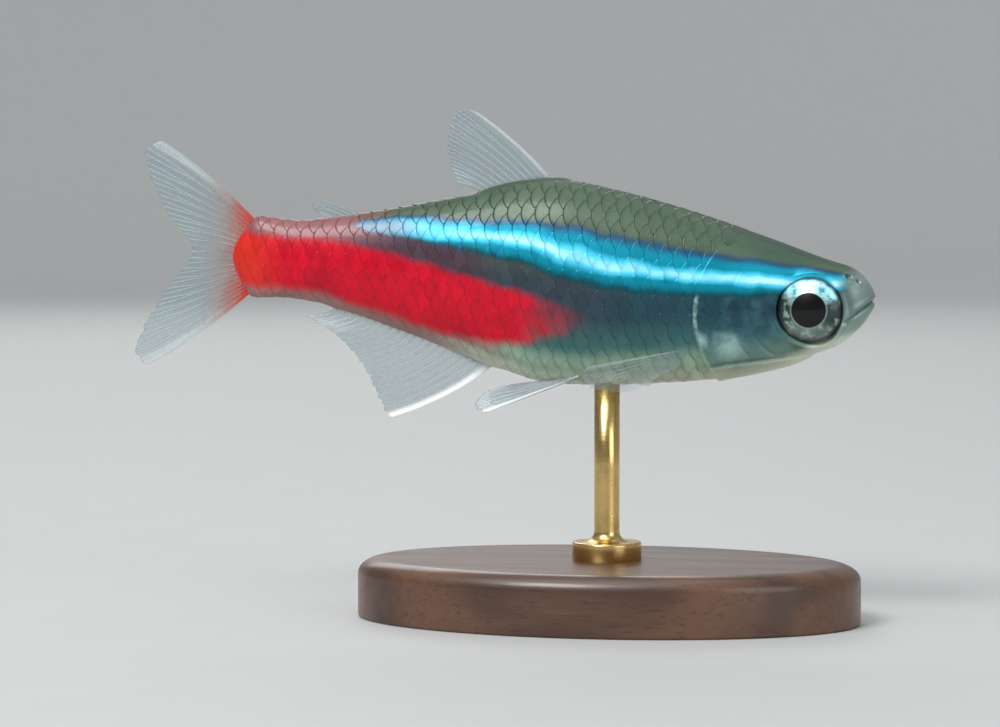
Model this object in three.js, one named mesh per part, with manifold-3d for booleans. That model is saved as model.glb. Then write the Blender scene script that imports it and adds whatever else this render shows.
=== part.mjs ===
// A neon tetra (Paracheirodon innesi), life size, swimming level with its nose a little down, as a
// museum shows it: on one thin rod over an oval base. Millimetres, +Z up, the head towards +X.
//
// The body is one loft through a few measured stations. Thin cuts part it into the head, the two gill
// covers, the torso and the tail stock, and every fin is a sheet whose rays stand up as ridges.
import * as THREE from "three";
import { mergeVertices } from "three/addons/utils/BufferGeometryUtils.js";
import Module from "manifold-3d";

const wasm = await Module();
wasm.setup();

// Driving dimensions

const LENGTH = 28; // snout to the end of the tail stock
const NOSE_DOWN_DEG = 4.4;
const GAP = 0.3; // between pieces that touch
const SLIVER = 0.006; // edges shorter than this are closed up

// Body stations, from the snout back, as shares of LENGTH: place, back above the axis, belly below it,
// half width, and the fullness of the section (2 is an ellipse).
const STATIONS = [
  [0.0, 0.044, 0.044, 0.038, 2.3],
  [0.06, 0.062, 0.067, 0.05, 2.3],
  [0.12, 0.081, 0.098, 0.06, 2.3],
  [0.2, 0.103, 0.122, 0.068, 2.25],
  [0.32, 0.132, 0.141, 0.073, 2.2],
  [0.42, 0.15, 0.153, 0.072, 2.15],
  [0.49, 0.158, 0.156, 0.069, 2.1],
  [0.56, 0.148, 0.143, 0.062, 2.05],
  [0.63, 0.127, 0.121, 0.054, 2.0],
  [0.72, 0.103, 0.095, 0.044, 2.0],
  [0.84, 0.075, 0.067, 0.032, 2.0],
  [0.92, 0.062, 0.06, 0.025, 2.0],
  [1.0, 0.068, 0.068, 0.018, 2.0],
];
const [BACK, BELLY, HALF_WIDTH, FULLNESS] = [1, 2, 3, 4];
const SNOUT_ROUNDING = 0.05; // share of LENGTH over which the blunt snout closes
const SNOUT_LIFT = { height: 0.012, over: 0.12 }; // the tip stands a little above the axis
const BODY_RINGS = 42;
const BODY_SIDES = 36;

// Eyes: a flattened ball in a socket on each side
const EYE = { place: 0.091, height: -0.008, side: 0.047, radius: 0.0495, depth: 0.0215 };

// Gill opening, an arc in side view that parts the head from the torso
const GILL = { place: 0.1, height: -0.02, radius: 0.166 };
const GILL_COVER_THICKNESS = 0.55;
const GILL_COVER_PROUD = 0.1;

// Mouth, closed: a groove down and back from the tip of the snout, with a lip on each side
const MOUTH = { height: 0.012, slope_deg: 46, reach: 0.042, width: 0.14, depth: 0.35 };
const LIP = { radius: 0.15, sunk: 0.09, apart: 0.16 };
const NOSTRILS = [
  { place: 0.024, height: 0.04, radius: 0.14 },
  { place: 0.037, height: 0.046, radius: 0.17 },
];
const NOSTRIL_DEPTH = 0.35;

const TAIL_STOCK_START = 0.858;

// Fins: thickness of the membrane at root and tip, and how far a ray stands off it
const FIN = { root: 0.52, tip: 0.3, ray: 0.1, sunk: 0.03 };

// Stand
const BASE = { half_length: 11, half_width: 6.6, height: 2.6, edge: 0.7 };
const ROD = { radius: 0.55, place: 0.4, foot_radius: 1.5, foot_height: 0.5, cove: 0.45 };
const BELLY_CLEARANCE = 7.6; // from the top of the base up to the belly at the rod

// Shapes

/** A point from shares of LENGTH: back from the snout, up from the axis, and out to the left. */
const at = (place, height, side = 0) =>
  new THREE.Vector3(-place * LENGTH, side * LENGTH, height * LENGTH);

/** One column of STATIONS at a place along the body, eased between stations without overshooting. */
function station(place, column) {
  const rows = STATIONS;
  const k = Math.max(0, rows.findLastIndex((row) => row[0] <= place));
  if (k >= rows.length - 1) return rows.at(-1)[column];
  const slope = (i) => (rows[i + 1][column] - rows[i][column]) / (rows[i + 1][0] - rows[i][0]);
  const tangent = (i) => {
    if (i === 0) return slope(0);
    if (i === rows.length - 1) return slope(i - 1);
    const [before, after] = [slope(i - 1), slope(i)];
    return before * after <= 0 ? 0 : (2 * before * after) / (before + after);
  };
  const span = rows[k + 1][0] - rows[k][0];
  const t = (place - rows[k][0]) / span;
  const [t2, t3] = [t * t, t * t * t];
  return (
    rows[k][column] * (2 * t3 - 3 * t2 + 1) +
    tangent(k) * span * (t3 - 2 * t2 + t) +
    rows[k + 1][column] * (3 * t2 - 2 * t3) +
    tangent(k + 1) * span * (t3 - t2)
  );
}

/** Back, belly and half width in mm at a place, with the snout closed to a blunt dome. */
function section(place) {
  const short = 1 - Math.min(1, place / SNOUT_ROUNDING);
  const dome = Math.sqrt(Math.max(0, 1 - short * short));
  const size = (column) => station(place, column) * LENGTH * dome;
  return {
    back: size(BACK),
    belly: size(BELLY),
    half: size(HALF_WIDTH),
    fullness: station(place, FULLNESS),
  };
}

/** How far in mm the middle of a section stands above the axis: only near the tip of the snout. */
const lift = (place) =>
  SNOUT_LIFT.height * LENGTH * Math.max(0, 1 - place / SNOUT_LIFT.over) ** 2;

/** Half width in mm of the body's skin at a place and a height above the axis, both as shares. */
function skinSide(place, height) {
  const { back, belly, half, fullness } = section(place);
  const up = height * LENGTH - lift(place);
  const rise = up / (up > 0 ? back : -belly);
  return half * Math.max(0, 1 - Math.abs(rise) ** fullness) ** (1 / fullness);
}

/** The body as a closed loft, grown (or, below zero, shrunk) by some mm all round. */
function bodyLoft(grow = 0) {
  const positions = [];
  const faces = [];
  const least = 0.05;
  for (let ring = 0; ring < BODY_RINGS; ring++) {
    const along = (ring + 1) / BODY_RINGS;
    const place = 0.62 * along + 0.38 * along ** 3; // rings crowd towards the snout
    const { back, belly, half, fullness } = section(place);
    const stretch = 1 + (2 * grow) / LENGTH;
    const x = grow - place * LENGTH * stretch;
    for (let side = 0; side < BODY_SIDES; side++) {
      const angle = (2 * Math.PI * side) / BODY_SIDES;
      const power = (v) => Math.sign(v) * Math.abs(v) ** (2 / fullness);
      const [up, out] = [power(Math.cos(angle)), power(Math.sin(angle))];
      const height = Math.max(least, (up > 0 ? back : belly) + grow);
      positions.push(x, out * Math.max(least, half + grow), up * height + lift(place));
    }
  }
  const vertex = (ring, side) => ring * BODY_SIDES + (side % BODY_SIDES);
  for (let ring = 0; ring < BODY_RINGS - 1; ring++)
    for (let side = 0; side < BODY_SIDES; side++) {
      const [a, b] = [vertex(ring, side), vertex(ring, side + 1)];
      const [c, d] = [vertex(ring + 1, side), vertex(ring + 1, side + 1)];
      faces.push(a, b, c, b, d, c);
    }
  const snout = positions.length / 3;
  positions.push(grow, 0, lift(0));
  positions.push(-LENGTH - grow, 0, 0);
  for (let side = 0; side < BODY_SIDES; side++) {
    faces.push(snout, vertex(0, side + 1), vertex(0, side));
    const last = BODY_RINGS - 1;
    faces.push(snout + 1, vertex(last, side), vertex(last, side + 1));
  }
  return geometryOf(positions, faces);
}

/**
 * A fin as one closed sheet. Its rays run from the root curve to the margin curve and stand up as
 * ridges on both faces, and the sheet thins towards the margin.
 */
function finSheet({ root, margin, rays, bow = 0, rows = 5, rootThickness = FIN.root }) {
  const columns = 2 * rays;
  const [lead, trail] = [root.getPoint(0), root.getPoint(1)];
  const ray = margin.getPoint(0.5).sub(root.getPoint(0.5)).normalize();
  const across = trail.clone().sub(lead).normalize();
  const normal = new THREE.Vector3().crossVectors(ray, across).normalize();
  const forward = across.clone().addScaledVector(ray, -across.dot(ray)).normalize().negate();
  const positions = [];
  for (const face of [1, -1])
    for (let row = 0; row <= rows; row++)
      for (let column = 0; column <= columns; column++) {
        const [u, r] = [column / columns, row / rows];
        const point = root.getPoint(u).lerp(margin.getPoint(u), r);
        point.addScaledVector(forward, bow * 4 * r * (1 - r));
        const membrane = THREE.MathUtils.lerp(rootThickness, FIN.tip, r) / 2;
        const ridge = column % 2 ? FIN.ray * (1 - 0.6 * r) : 0;
        point.addScaledVector(normal, face * (membrane + ridge));
        positions.push(...point.toArray());
      }
  const vertex = (face, row, column) => (face * (rows + 1) + row) * (columns + 1) + column;
  const faces = [];
  const quad = (a, b, c, d) => faces.push(a, b, c, a, c, d);
  for (let row = 0; row < rows; row++)
    for (let column = 0; column < columns; column++) {
      const corners = (face) => [
        vertex(face, row, column),
        vertex(face, row + 1, column),
        vertex(face, row + 1, column + 1),
        vertex(face, row, column + 1),
      ];
      const [a, b, c, d] = corners(0);
      const [e, f, g, h] = corners(1);
      quad(a, b, c, d);
      faces.push(e, g, f, e, h, g);
    }
  for (let column = 0; column < columns; column++)
    for (const row of [0, rows]) {
      const [a, b] = [vertex(0, row, column), vertex(0, row, column + 1)];
      const [c, d] = [vertex(1, row, column + 1), vertex(1, row, column)];
      if (row) quad(a, d, c, b);
      else quad(a, b, c, d);
    }
  for (let row = 0; row < rows; row++)
    for (const column of [0, columns]) {
      const [a, b] = [vertex(0, row, column), vertex(0, row + 1, column)];
      const [c, d] = [vertex(1, row + 1, column), vertex(1, row, column)];
      if (column) quad(a, b, c, d);
      else quad(a, d, c, b);
    }
  return geometryOf(positions, faces);
}

/** A curve through points given as [place, height, side] shares of LENGTH. */
const through = (...points) => new THREE.CatmullRomCurve3(points.map((p) => at(...p)), false, "catmullrom", 0.5);

/** A curve that follows the back (1) or the belly (-1) from one place to another, sunk under the skin. */
function alongBody(from, to, edge, sunk = FIN.sunk) {
  const steps = 4;
  const points = [];
  for (let step = 0; step <= steps; step++) {
    const place = THREE.MathUtils.lerp(from, to, step / steps);
    const height = station(place, edge > 0 ? BACK : BELLY) - sunk;
    points.push([place, edge * height]);
  }
  return through(...points);
}

/** An indexed geometry from flat lists of coordinates and vertex numbers. */
function geometryOf(positions, faces) {
  const geometry = new THREE.BufferGeometry();
  geometry.setAttribute("position", new THREE.Float32BufferAttribute(positions, 3));
  geometry.setIndex(faces);
  return geometry;
}

// Solids

/** A three.js geometry as a solid that can be joined and cut. */
function solid(geometry) {
  const bare = geometry.clone();
  bare.deleteAttribute("normal");
  bare.deleteAttribute("uv");
  const merged = mergeVertices(bare, 1e-5);
  const triangles = [];
  const index = merged.index.array;
  for (let i = 0; i < index.length; i += 3) {
    const [a, b, c] = [index[i], index[i + 1], index[i + 2]];
    if (a !== b && b !== c && c !== a) triangles.push(a, b, c);
  }
  const mesh = new wasm.Mesh({
    numProp: 3,
    vertProperties: Float32Array.from(merged.attributes.position.array),
    triVerts: Uint32Array.from(triangles),
  });
  return new wasm.Manifold(mesh);
}

/** The largest closed piece of a solid, without the scraps and the slivers that cuts leave. */
function largest(made) {
  const pieces = made.decompose().sort((a, b) => b.volume() - a.volume());
  return pieces[0].simplify(SLIVER);
}

/** A solid back as a three.js geometry with flat faces. */
function geometryFrom(made) {
  const mesh = made.getMesh();
  const positions = [];
  for (let i = 0; i < mesh.numVert; i++)
    positions.push(...mesh.vertProperties.subarray(i * mesh.numProp, i * mesh.numProp + 3));
  const geometry = geometryOf(positions, Array.from(mesh.triVerts));
  geometry.computeVertexNormals();
  return geometry;
}

/** A cylinder across the body, its axis along Y. */
function crossCylinder(place, height, radius, length = 20) {
  const centre = at(place, height);
  return solid(
    new THREE.CylinderGeometry(radius, radius, length, 72).translate(centre.x, 0, centre.z),
  );
}

/** A ball flattened across the body, centred at a place, height and side. */
function flatBall(eye, side, grow) {
  const centre = at(eye.place, eye.height, side * eye.side);
  const radius = eye.radius * LENGTH + grow;
  return solid(
    new THREE.SphereGeometry(1, 28, 18)
      .rotateX(Math.PI / 2)
      .scale(radius, eye.depth * LENGTH + grow, radius)
      .translate(centre.x, centre.y, centre.z),
  );
}

/** A flat outline in side view, given as [place, height] shares, made into a prism on one side that
 * starts clear of the middle. */
function sidePrism(outline, side, grow = 0) {
  const curve = new THREE.SplineCurve(
    outline.map(([place, height]) => new THREE.Vector2(-place * LENGTH, height * LENGTH)),
  );
  const points = curve.getPoints(40);
  const middle = points.reduce((sum, p) => sum.add(p), new THREE.Vector2()).divideScalar(points.length);
  for (const point of points) {
    const out = point.clone().sub(middle);
    point.addScaledVector(out.normalize(), grow);
  }
  const prism = new THREE.ExtrudeGeometry(new THREE.Shape(points), {
    depth: 6,
    bevelEnabled: false,
  }).rotateX(Math.PI / 2); // the drawing stands up and its depth runs to the fish's right
  return solid(side < 0 ? prism.translate(0, -0.6, 0) : prism.translate(0, 6.6, 0));
}

/** A lip: a thin roll that follows the mouth's line round the snout, above (1) or below (-1) it. */
function lip(edge) {
  const points = [];
  const steps = 12;
  const drop = Math.tan(THREE.MathUtils.degToRad(MOUTH.slope_deg));
  for (let step = -steps; step <= steps; step++) {
    const place = MOUTH.reach * (step / steps) ** 2 + LIP.sunk / LENGTH;
    const height = MOUTH.height - drop * place + (edge * LIP.apart) / LENGTH;
    const side = skinSide(place, height) - LIP.sunk * 0.5;
    points.push(at(place, height).setY(Math.sign(step) * Math.max(0, side)));
  }
  const roll = new THREE.Shape().absarc(0, 0, LIP.radius, 0, 2 * Math.PI);
  return solid(
    new THREE.ExtrudeGeometry(roll, {
      steps: 18,
      curveSegments: 4,
      extrudePath: new THREE.CatmullRomCurve3(points),
      bevelEnabled: false,
    }),
  );
}

// The body, parted

const body = solid(bodyLoft());
const clearOfBody = solid(bodyLoft(GAP));
const gillRadius = GILL.radius * LENGTH;
const headSide = crossCylinder(GILL.place, GILL.height, gillRadius - GAP / 2);
const torsoSide = crossCylinder(GILL.place, GILL.height, gillRadius + GAP / 2);

const COVER_OUTLINE = [
  [0.168, 0.01],
  [0.188, 0.04],
  [0.228, 0.046],
  [0.295, 0.01],
  [0.295, -0.045],
  [0.245, -0.088],
  [0.2, -0.082],
  [0.172, -0.06],
  [0.163, -0.025],
  [0.168, 0.01],
];

/** One gill cover: a plate that lies in the side of the head and ends at the gill opening. */
function gillCover(side) {
  const proud = solid(bodyLoft(GILL_COVER_PROUD));
  const under = solid(bodyLoft(GILL_COVER_PROUD - GILL_COVER_THICKNESS));
  return largest(
    proud.intersect(sidePrism(COVER_OUTLINE, side)).intersect(headSide).subtract(under),
  );
}

/** The head, with its sockets, gill cover beds, mouth, lips and nostrils. */
function headSolid() {
  let head = body.intersect(headSide);
  head = head.add(lip(1)).add(lip(-1));
  const bedFloor = solid(bodyLoft(GILL_COVER_PROUD - GILL_COVER_THICKNESS - GAP));
  for (const side of [1, -1]) {
    head = head.subtract(flatBall(EYE, side, GAP));
    head = head.subtract(sidePrism(COVER_OUTLINE, side, GAP).subtract(bedFloor));
    for (const nostril of NOSTRILS) {
      const skin = skinSide(nostril.place, nostril.height);
      const mouth = at(nostril.place, nostril.height).setY(side * skin);
      const pit = new THREE.SphereGeometry(1, 10, 8)
        .scale(nostril.radius, NOSTRIL_DEPTH, nostril.radius)
        .translate(mouth.x, mouth.y, mouth.z);
      head = head.subtract(solid(pit));
    }
  }
  const slit = new THREE.BoxGeometry(2 * MOUTH.reach * LENGTH, 6, MOUTH.width)
    .rotateY(-THREE.MathUtils.degToRad(MOUTH.slope_deg))
    .translate(0, 0, MOUTH.height * LENGTH);
  const throat = solid(bodyLoft(-MOUTH.depth));
  return largest(head.subtract(solid(slit).subtract(throat)));
}

const tailCut = -TAIL_STOCK_START * LENGTH;

/** Everything behind (or, below zero, ahead of) a place along the axis. */
function halfSpace(x, behind) {
  const size = 60;
  return solid(
    new THREE.BoxGeometry(size, size, size).translate(x - (behind * size) / 2, 0, 0),
  );
}

const torso = largest(body.subtract(torsoSide).intersect(halfSpace(tailCut + GAP / 2, -1)));
const tailStock = largest(body.intersect(halfSpace(tailCut - GAP / 2, 1)));

// Fins

/** A fin cut back to stand just clear of the body. */
const finSolid = (form) => largest(solid(finSheet(form)).subtract(clearOfBody));

const dorsalFin = () =>
  finSolid({
    root: alongBody(0.498, 0.612, 1),
    margin: through([0.636, 0.253], [0.663, 0.254], [0.677, 0.23], [0.678, 0.186], [0.662, 0.14]),
    rays: 11,
    bow: 0.25,
  });

const adiposeFin = () =>
  finSolid({
    root: alongBody(0.795, 0.842, 1, 0.02),
    margin: through([0.868, 0.094], [0.884, 0.09], [0.886, 0.081], [0.872, 0.076]),
    rays: 4,
    bow: 0.15,
    rows: 4,
  });

const analFin = () =>
  finSolid({
    root: alongBody(0.572, 0.838, -1),
    margin: through(
      [0.742, -0.236],
      [0.76, -0.206],
      [0.788, -0.158],
      [0.832, -0.114],
      [0.886, -0.086],
    ),
    rays: 19,
    bow: 0.3,
  });

/** One lobe of the forked tail fin: the upper (1) or the lower (-1). */
function tailLobe(edge, tip) {
  const [reach, spread] = tip;
  const seam = GAP / 2 / LENGTH;
  return finSolid({
    root: through([0.975, edge * 0.058], [0.975, edge * 0.03], [0.975, edge * (seam + 0.002)]),
    margin: through(
      [reach - 0.012, edge * spread],
      [reach + 0.004, edge * (spread - 0.014)],
      [reach - 0.01, edge * (spread - 0.05)],
      [1.1, edge * 0.05],
      [1.07, edge * (seam + 0.003)],
    ),
    rays: 10,
    rows: 6,
    rootThickness: 0.8,
  });
}

const pelvicFin = (side) =>
  finSolid({
    root: through([0.436, -0.13, side * 0.032], [0.47, -0.13, side * 0.008]),
    margin: through(
      [0.578, -0.199, side * 0.06],
      [0.593, -0.201, side * 0.047],
      [0.582, -0.197, side * 0.032],
      [0.552, -0.188, side * 0.017],
    ),
    rays: 8,
    rows: 4,
  });

const pectoralFin = (side) =>
  finSolid({
    root: through([0.268, -0.066, side * 0.04], [0.272, -0.098, side * 0.036]),
    margin: through(
      [0.414, -0.118, side * 0.118],
      [0.42, -0.137, side * 0.115],
      [0.398, -0.153, side * 0.104],
      [0.35, -0.155, side * 0.084],
    ),
    rays: 11,
    rows: 4,
  });

// Materials

const finish = (color, roughness, metalness = 0, opacity = 1) =>
  new THREE.MeshStandardMaterial({
    color,
    roughness,
    metalness,
    opacity,
    transparent: opacity < 1,
    flatShading: true,
  });
const MATERIALS = {
  silver_skin: finish(0x9db4b0, 0.3, 0.3),
  back_skin: finish(0x2aa6c4, 0.3, 0.3),
  red_skin: finish(0xc8102a, 0.4),
  fin: finish(0xb9c6c4, 0.4, 0, 0.6),
  eye: finish(0x10181c, 0.1),
  wood: finish(0x3b2416, 0.45),
  brass: finish(0xb08d4a, 0.3, 1),
};

// The group

/** A named mesh of a solid in a finish. */
function piece(name, made, material) {
  const mesh = new THREE.Mesh(geometryFrom(made), MATERIALS[material]);
  mesh.name = name;
  return mesh;
}

/** The fish about the tip of its snout, head towards +X. */
function fishGroup() {
  const fish = new THREE.Group();
  fish.add(
    piece("head", headSolid(), "silver_skin"),
    piece("torso", torso, "back_skin"),
    piece("tail_stock", tailStock, "red_skin"),
    piece("dorsal_fin", dorsalFin(), "fin"),
    piece("adipose_fin", adiposeFin(), "fin"),
    piece("anal_fin", analFin(), "fin"),
    piece("tail_fin_upper", tailLobe(1, [1.16, 0.166]), "fin"),
    piece("tail_fin_lower", tailLobe(-1, [1.148, 0.178]), "fin"),
  );
  for (const [side, word] of [
    [1, "left"],
    [-1, "right"],
  ])
    fish.add(
      piece(`eye_${word}`, flatBall(EYE, side, 0), "eye"),
      piece(`gill_cover_${word}`, gillCover(side), "silver_skin"),
      piece(`pectoral_fin_${word}`, pectoralFin(side), "fin"),
      piece(`pelvic_fin_${word}`, pelvicFin(side), "fin"),
    );
  return fish;
}

const fish = fishGroup();
fish.rotation.y = THREE.MathUtils.degToRad(NOSE_DOWN_DEG);
const bellyAtRod = at(ROD.place, -station(ROD.place, BELLY)).applyEuler(fish.rotation);
fish.position.z = BASE.height + BELLY_CLEARANCE - bellyAtRod.z;
fish.updateMatrix();

/** The oval base: a turned profile drawn out along X. */
function standBase() {
  const { half_width: radius, height, edge } = BASE;
  const profile = [new THREE.Vector2(0, 0), new THREE.Vector2(radius, 0)];
  const steps = 5;
  for (let step = 0; step <= steps; step++) {
    const angle = (step / steps) * (Math.PI / 2);
    profile.push(
      new THREE.Vector2(
        radius - edge * (1 - Math.cos(angle)),
        height - edge * (1 - Math.sin(angle)),
      ),
    );
  }
  profile.push(new THREE.Vector2(0, height));
  const turned = new THREE.LatheGeometry(profile, 64)
    .rotateX(Math.PI / 2)
    .scale(BASE.half_length / radius, 1, 1)
    .translate(bellyAtRod.x, 0, 0);
  return solid(turned);
}

/** The rod: a coved foot on the base, and a shaft whose end is hollowed to the belly it carries. */
function standRod() {
  const { radius, foot_radius: wide, foot_height: low, cove } = ROD;
  const shaftTop = BELLY_CLEARANCE + 1;
  const profile = [new THREE.Vector2(0, 0), new THREE.Vector2(wide, 0)];
  const steps = 4;
  for (let step = 0; step <= steps; step++) {
    const angle = (step / steps) * (Math.PI / 2);
    profile.push(
      new THREE.Vector2(
        radius + cove * (1 - Math.sin(angle)),
        low + cove * (1 - Math.cos(angle)),
      ),
    );
  }
  profile.splice(2, 0, new THREE.Vector2(wide, low));
  profile.push(new THREE.Vector2(radius, shaftTop), new THREE.Vector2(0, shaftTop));
  const turned = new THREE.LatheGeometry(profile, 24)
    .rotateX(Math.PI / 2)
    .translate(bellyAtRod.x, 0, BASE.height + GAP);
  const clear = solid(bodyLoft(GAP).applyMatrix4(fish.matrix));
  return largest(solid(turned).subtract(clear));
}

const model = new THREE.Group();
model.add(
  fish,
  piece("stand_base", standBase(), "wood"),
  piece("stand_rod", standRod(), "brass"),
);
const middle = new THREE.Box3().setFromObject(model, true).getCenter(new THREE.Vector3());
for (const child of model.children) child.position.x -= middle.x;

export default model;
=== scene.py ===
"""Dresses a life-size neon tetra on its display stand for the studio.

One skin with a modelled head stands for the flesh, thin scales overlap along it, and the fins, eyes, base
and rod are pieces of their own. Everything is in metres, placed from the part's own boxes.
"""

from __future__ import annotations

import logging
import math
from dataclasses import dataclass
from enum import Enum

import bpy
import numpy as np
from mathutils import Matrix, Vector


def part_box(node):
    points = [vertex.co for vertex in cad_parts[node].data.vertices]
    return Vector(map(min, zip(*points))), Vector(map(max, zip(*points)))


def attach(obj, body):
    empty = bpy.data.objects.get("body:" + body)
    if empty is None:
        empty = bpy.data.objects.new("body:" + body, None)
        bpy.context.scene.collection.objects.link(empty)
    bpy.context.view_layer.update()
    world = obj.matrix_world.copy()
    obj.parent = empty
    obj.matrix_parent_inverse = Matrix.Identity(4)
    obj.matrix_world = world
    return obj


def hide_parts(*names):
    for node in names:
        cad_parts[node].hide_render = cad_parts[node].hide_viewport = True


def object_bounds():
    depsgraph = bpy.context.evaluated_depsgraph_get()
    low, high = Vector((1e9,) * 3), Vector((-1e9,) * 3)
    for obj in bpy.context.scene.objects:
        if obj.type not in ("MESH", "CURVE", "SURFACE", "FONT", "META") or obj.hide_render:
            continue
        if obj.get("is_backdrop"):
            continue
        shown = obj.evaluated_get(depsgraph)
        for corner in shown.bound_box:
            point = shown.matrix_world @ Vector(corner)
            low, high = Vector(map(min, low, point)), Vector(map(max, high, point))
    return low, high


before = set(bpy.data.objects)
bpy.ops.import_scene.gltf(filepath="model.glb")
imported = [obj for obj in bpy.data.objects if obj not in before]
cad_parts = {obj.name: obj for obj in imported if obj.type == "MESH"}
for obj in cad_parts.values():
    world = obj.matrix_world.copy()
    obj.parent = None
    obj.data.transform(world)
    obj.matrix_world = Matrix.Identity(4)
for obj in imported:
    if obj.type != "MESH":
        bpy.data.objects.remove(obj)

LOG = logging.getLogger("neon_tetra")
MM = 0.001
BODY = "root"
PUPIL_SHARE = 0.53
BLACK = (0.0, 0.0, 0.0)
Socket = bpy.types.NodeSocket
Points = tuple[tuple[float, ...], ...]
Colour = tuple[float, float, float]


# Curves and meshes


def monotone(xs: np.ndarray, ys: np.ndarray, x: np.ndarray) -> np.ndarray:
    """Eases between known points without overshooting any of them.

    Args:
        xs: Places of the known points, rising.
        ys: Their values.
        x: Places to read.

    Returns:
        The eased values at x.
    """
    slopes = np.diff(ys) / np.diff(xs)
    tangents = np.concatenate([[slopes[0]], np.zeros(len(xs) - 2), [slopes[-1]]])
    before, after = slopes[:-1], slopes[1:]
    rising = before * after > 0
    total = np.where(rising, before + after, 1.0)
    tangents[1:-1] = np.where(rising, 2 * before * after / total, 0.0)
    k = np.clip(np.searchsorted(xs, x, side="right") - 1, 0, len(xs) - 2)
    span = xs[k + 1] - xs[k]
    t = np.clip((x - xs[k]) / span, 0.0, 1.0)
    t2, t3 = t * t, t * t * t
    return (
        ys[k] * (2 * t3 - 3 * t2 + 1)
        + tangents[k] * span * (t3 - 2 * t2 + t)
        + ys[k + 1] * (3 * t2 - 2 * t3)
        + tangents[k + 1] * span * (t3 - t2)
    )


def through(points: np.ndarray, u: np.ndarray) -> np.ndarray:
    """Reads a smooth curve that passes through every point.

    Args:
        points: The points, one a row.
        u: Shares of the way along, from 0 to 1.

    Returns:
        One point of the curve for each u.
    """
    last = len(points) - 1
    padded = np.vstack([2 * points[0] - points[1], points, 2 * points[-1] - points[-2]])
    along = np.clip(u, 0.0, 1.0) * last
    k = np.clip(along.astype(int), 0, last - 1)
    t = (along - k)[:, None]
    a, b, c, d = (padded[k + step] for step in range(4))
    return 0.5 * (
        2 * b
        + (c - a) * t
        + (2 * a - 5 * b + 4 * c - d) * t**2
        + (3 * b - a - 3 * c + d) * t**3
    )


def evenly(points: np.ndarray, u: np.ndarray) -> np.ndarray:
    """Reads the smooth curve through points at even distances along it.

    Args:
        points: The points, one a row.
        u: Shares of the curve's own length, from 0 to 1.

    Returns:
        One point of the curve for each u.
    """
    fine = np.linspace(0, 1, 400)
    steps = np.linalg.norm(np.diff(through(points, fine), axis=0), axis=1)
    far = np.concatenate([[0.0], np.cumsum(steps)])
    return through(points, np.interp(u * far[-1], far, fine))


def smooth(low: float, high: float, x: np.ndarray) -> np.ndarray:
    """A soft step from 0 at low to 1 at high, or down again where low is above high."""
    t = np.clip((x - low) / (high - low), 0.0, 1.0)
    return t * t * (3 - 2 * t)


def bell(x: np.ndarray, width: float) -> np.ndarray:
    """A smooth bump of height 1 at x = 0 that fades over about width."""
    return np.exp(-((x / width) ** 2))


def grid_faces(rows: int, columns: int, wrap: bool = False, first: int = 0) -> list[tuple[int, ...]]:
    """The quads of a grid of vertices counted row by row.

    Args:
        rows: Rows of vertices.
        columns: Vertices in a row.
        wrap: Whether the last column joins the first.
        first: Number of the grid's first vertex.

    Returns:
        Four vertex numbers for each quad.
    """
    row, column = np.meshgrid(
        np.arange(rows - 1), np.arange(columns if wrap else columns - 1), indexing="ij"
    )
    right = (column + 1) % columns
    corners = [
        row * columns + column,
        row * columns + right,
        (row + 1) * columns + right,
        (row + 1) * columns + column,
    ]
    return [tuple(quad) for quad in (np.stack(corners, -1).reshape(-1, 4) + first).tolist()]


def closed_sheet_faces(rows: int, columns: int) -> list[tuple[int, ...]]:
    """The quads of a closed sheet: a front grid, then a back grid with the same layout, and its rim.

    Args:
        rows: Rows of vertices on each face.
        columns: Vertices in a row.

    Returns:
        Four vertex numbers for each quad.
    """
    size = rows * columns
    front = grid_faces(rows, columns)
    back = [tuple(reversed(quad)) for quad in grid_faces(rows, columns, first=size)]
    edge = list(range(columns))
    edge += [r * columns + columns - 1 for r in range(1, rows)]
    edge += [(rows - 1) * columns + c for c in range(columns - 2, -1, -1)]
    edge += [r * columns for r in range(rows - 2, 0, -1)]
    rim = [(b, a, a + size, b + size) for a, b in zip(edge, edge[1:] + edge[:1])]
    return front + back + rim


def tube_faces(rows: int, sides: int) -> list[tuple[int, ...]]:
    """The faces of a tube that closes on a tip at each end.

    Args:
        rows: Rows of vertices, counted from the first end.
        sides: Vertices round a row.

    Returns:
        Vertex numbers of each face, where the two tips follow the last row.
    """
    faces = grid_faces(rows, sides, wrap=True)
    first_tip, last_tip = rows * sides, rows * sides + 1
    last = (rows - 1) * sides
    for side in range(sides):
        after = (side + 1) % sides
        faces.append((first_tip, after, side))
        faces.append((last_tip, last + side, last + after))
    return faces


def new_piece(name: str, vertices: np.ndarray, faces: list[tuple[int, ...]]) -> bpy.types.Object:
    """Makes a smooth-shaded mesh object.

    Args:
        name: The piece's name.
        vertices: One vertex a row, in metres.
        faces: Vertex numbers of each face.

    Returns:
        The new object, linked to the scene.
    """
    mesh = bpy.data.meshes.new(name)
    mesh.from_pydata(vertices.tolist(), [], faces)
    mesh.polygons.foreach_set("use_smooth", [True] * len(mesh.polygons))
    mesh.update()
    piece = bpy.data.objects.new(name, mesh)
    bpy.context.scene.collection.objects.link(piece)
    return piece


def paint(piece: bpy.types.Object, name: str, values: np.ndarray) -> None:
    """Stores one number for each vertex, for a material to read."""
    attribute = piece.data.attributes.new(name, "FLOAT", "POINT")
    attribute.data.foreach_set("value", values.astype(np.float32).ravel())


def dress(piece: bpy.types.Object, finish: bpy.types.Material, slot: str, *nodes: str) -> None:
    """Gives a piece its material, sets it riding, and lets it stand for solids of the part.

    Args:
        piece: The piece.
        finish: Its material.
        slot: A material slot's name; not used.
        nodes: Solids that the piece replaces.
    """
    piece.data.materials.append(finish)
    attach(piece, BODY)
    if nodes:
        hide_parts(*nodes)


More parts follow.
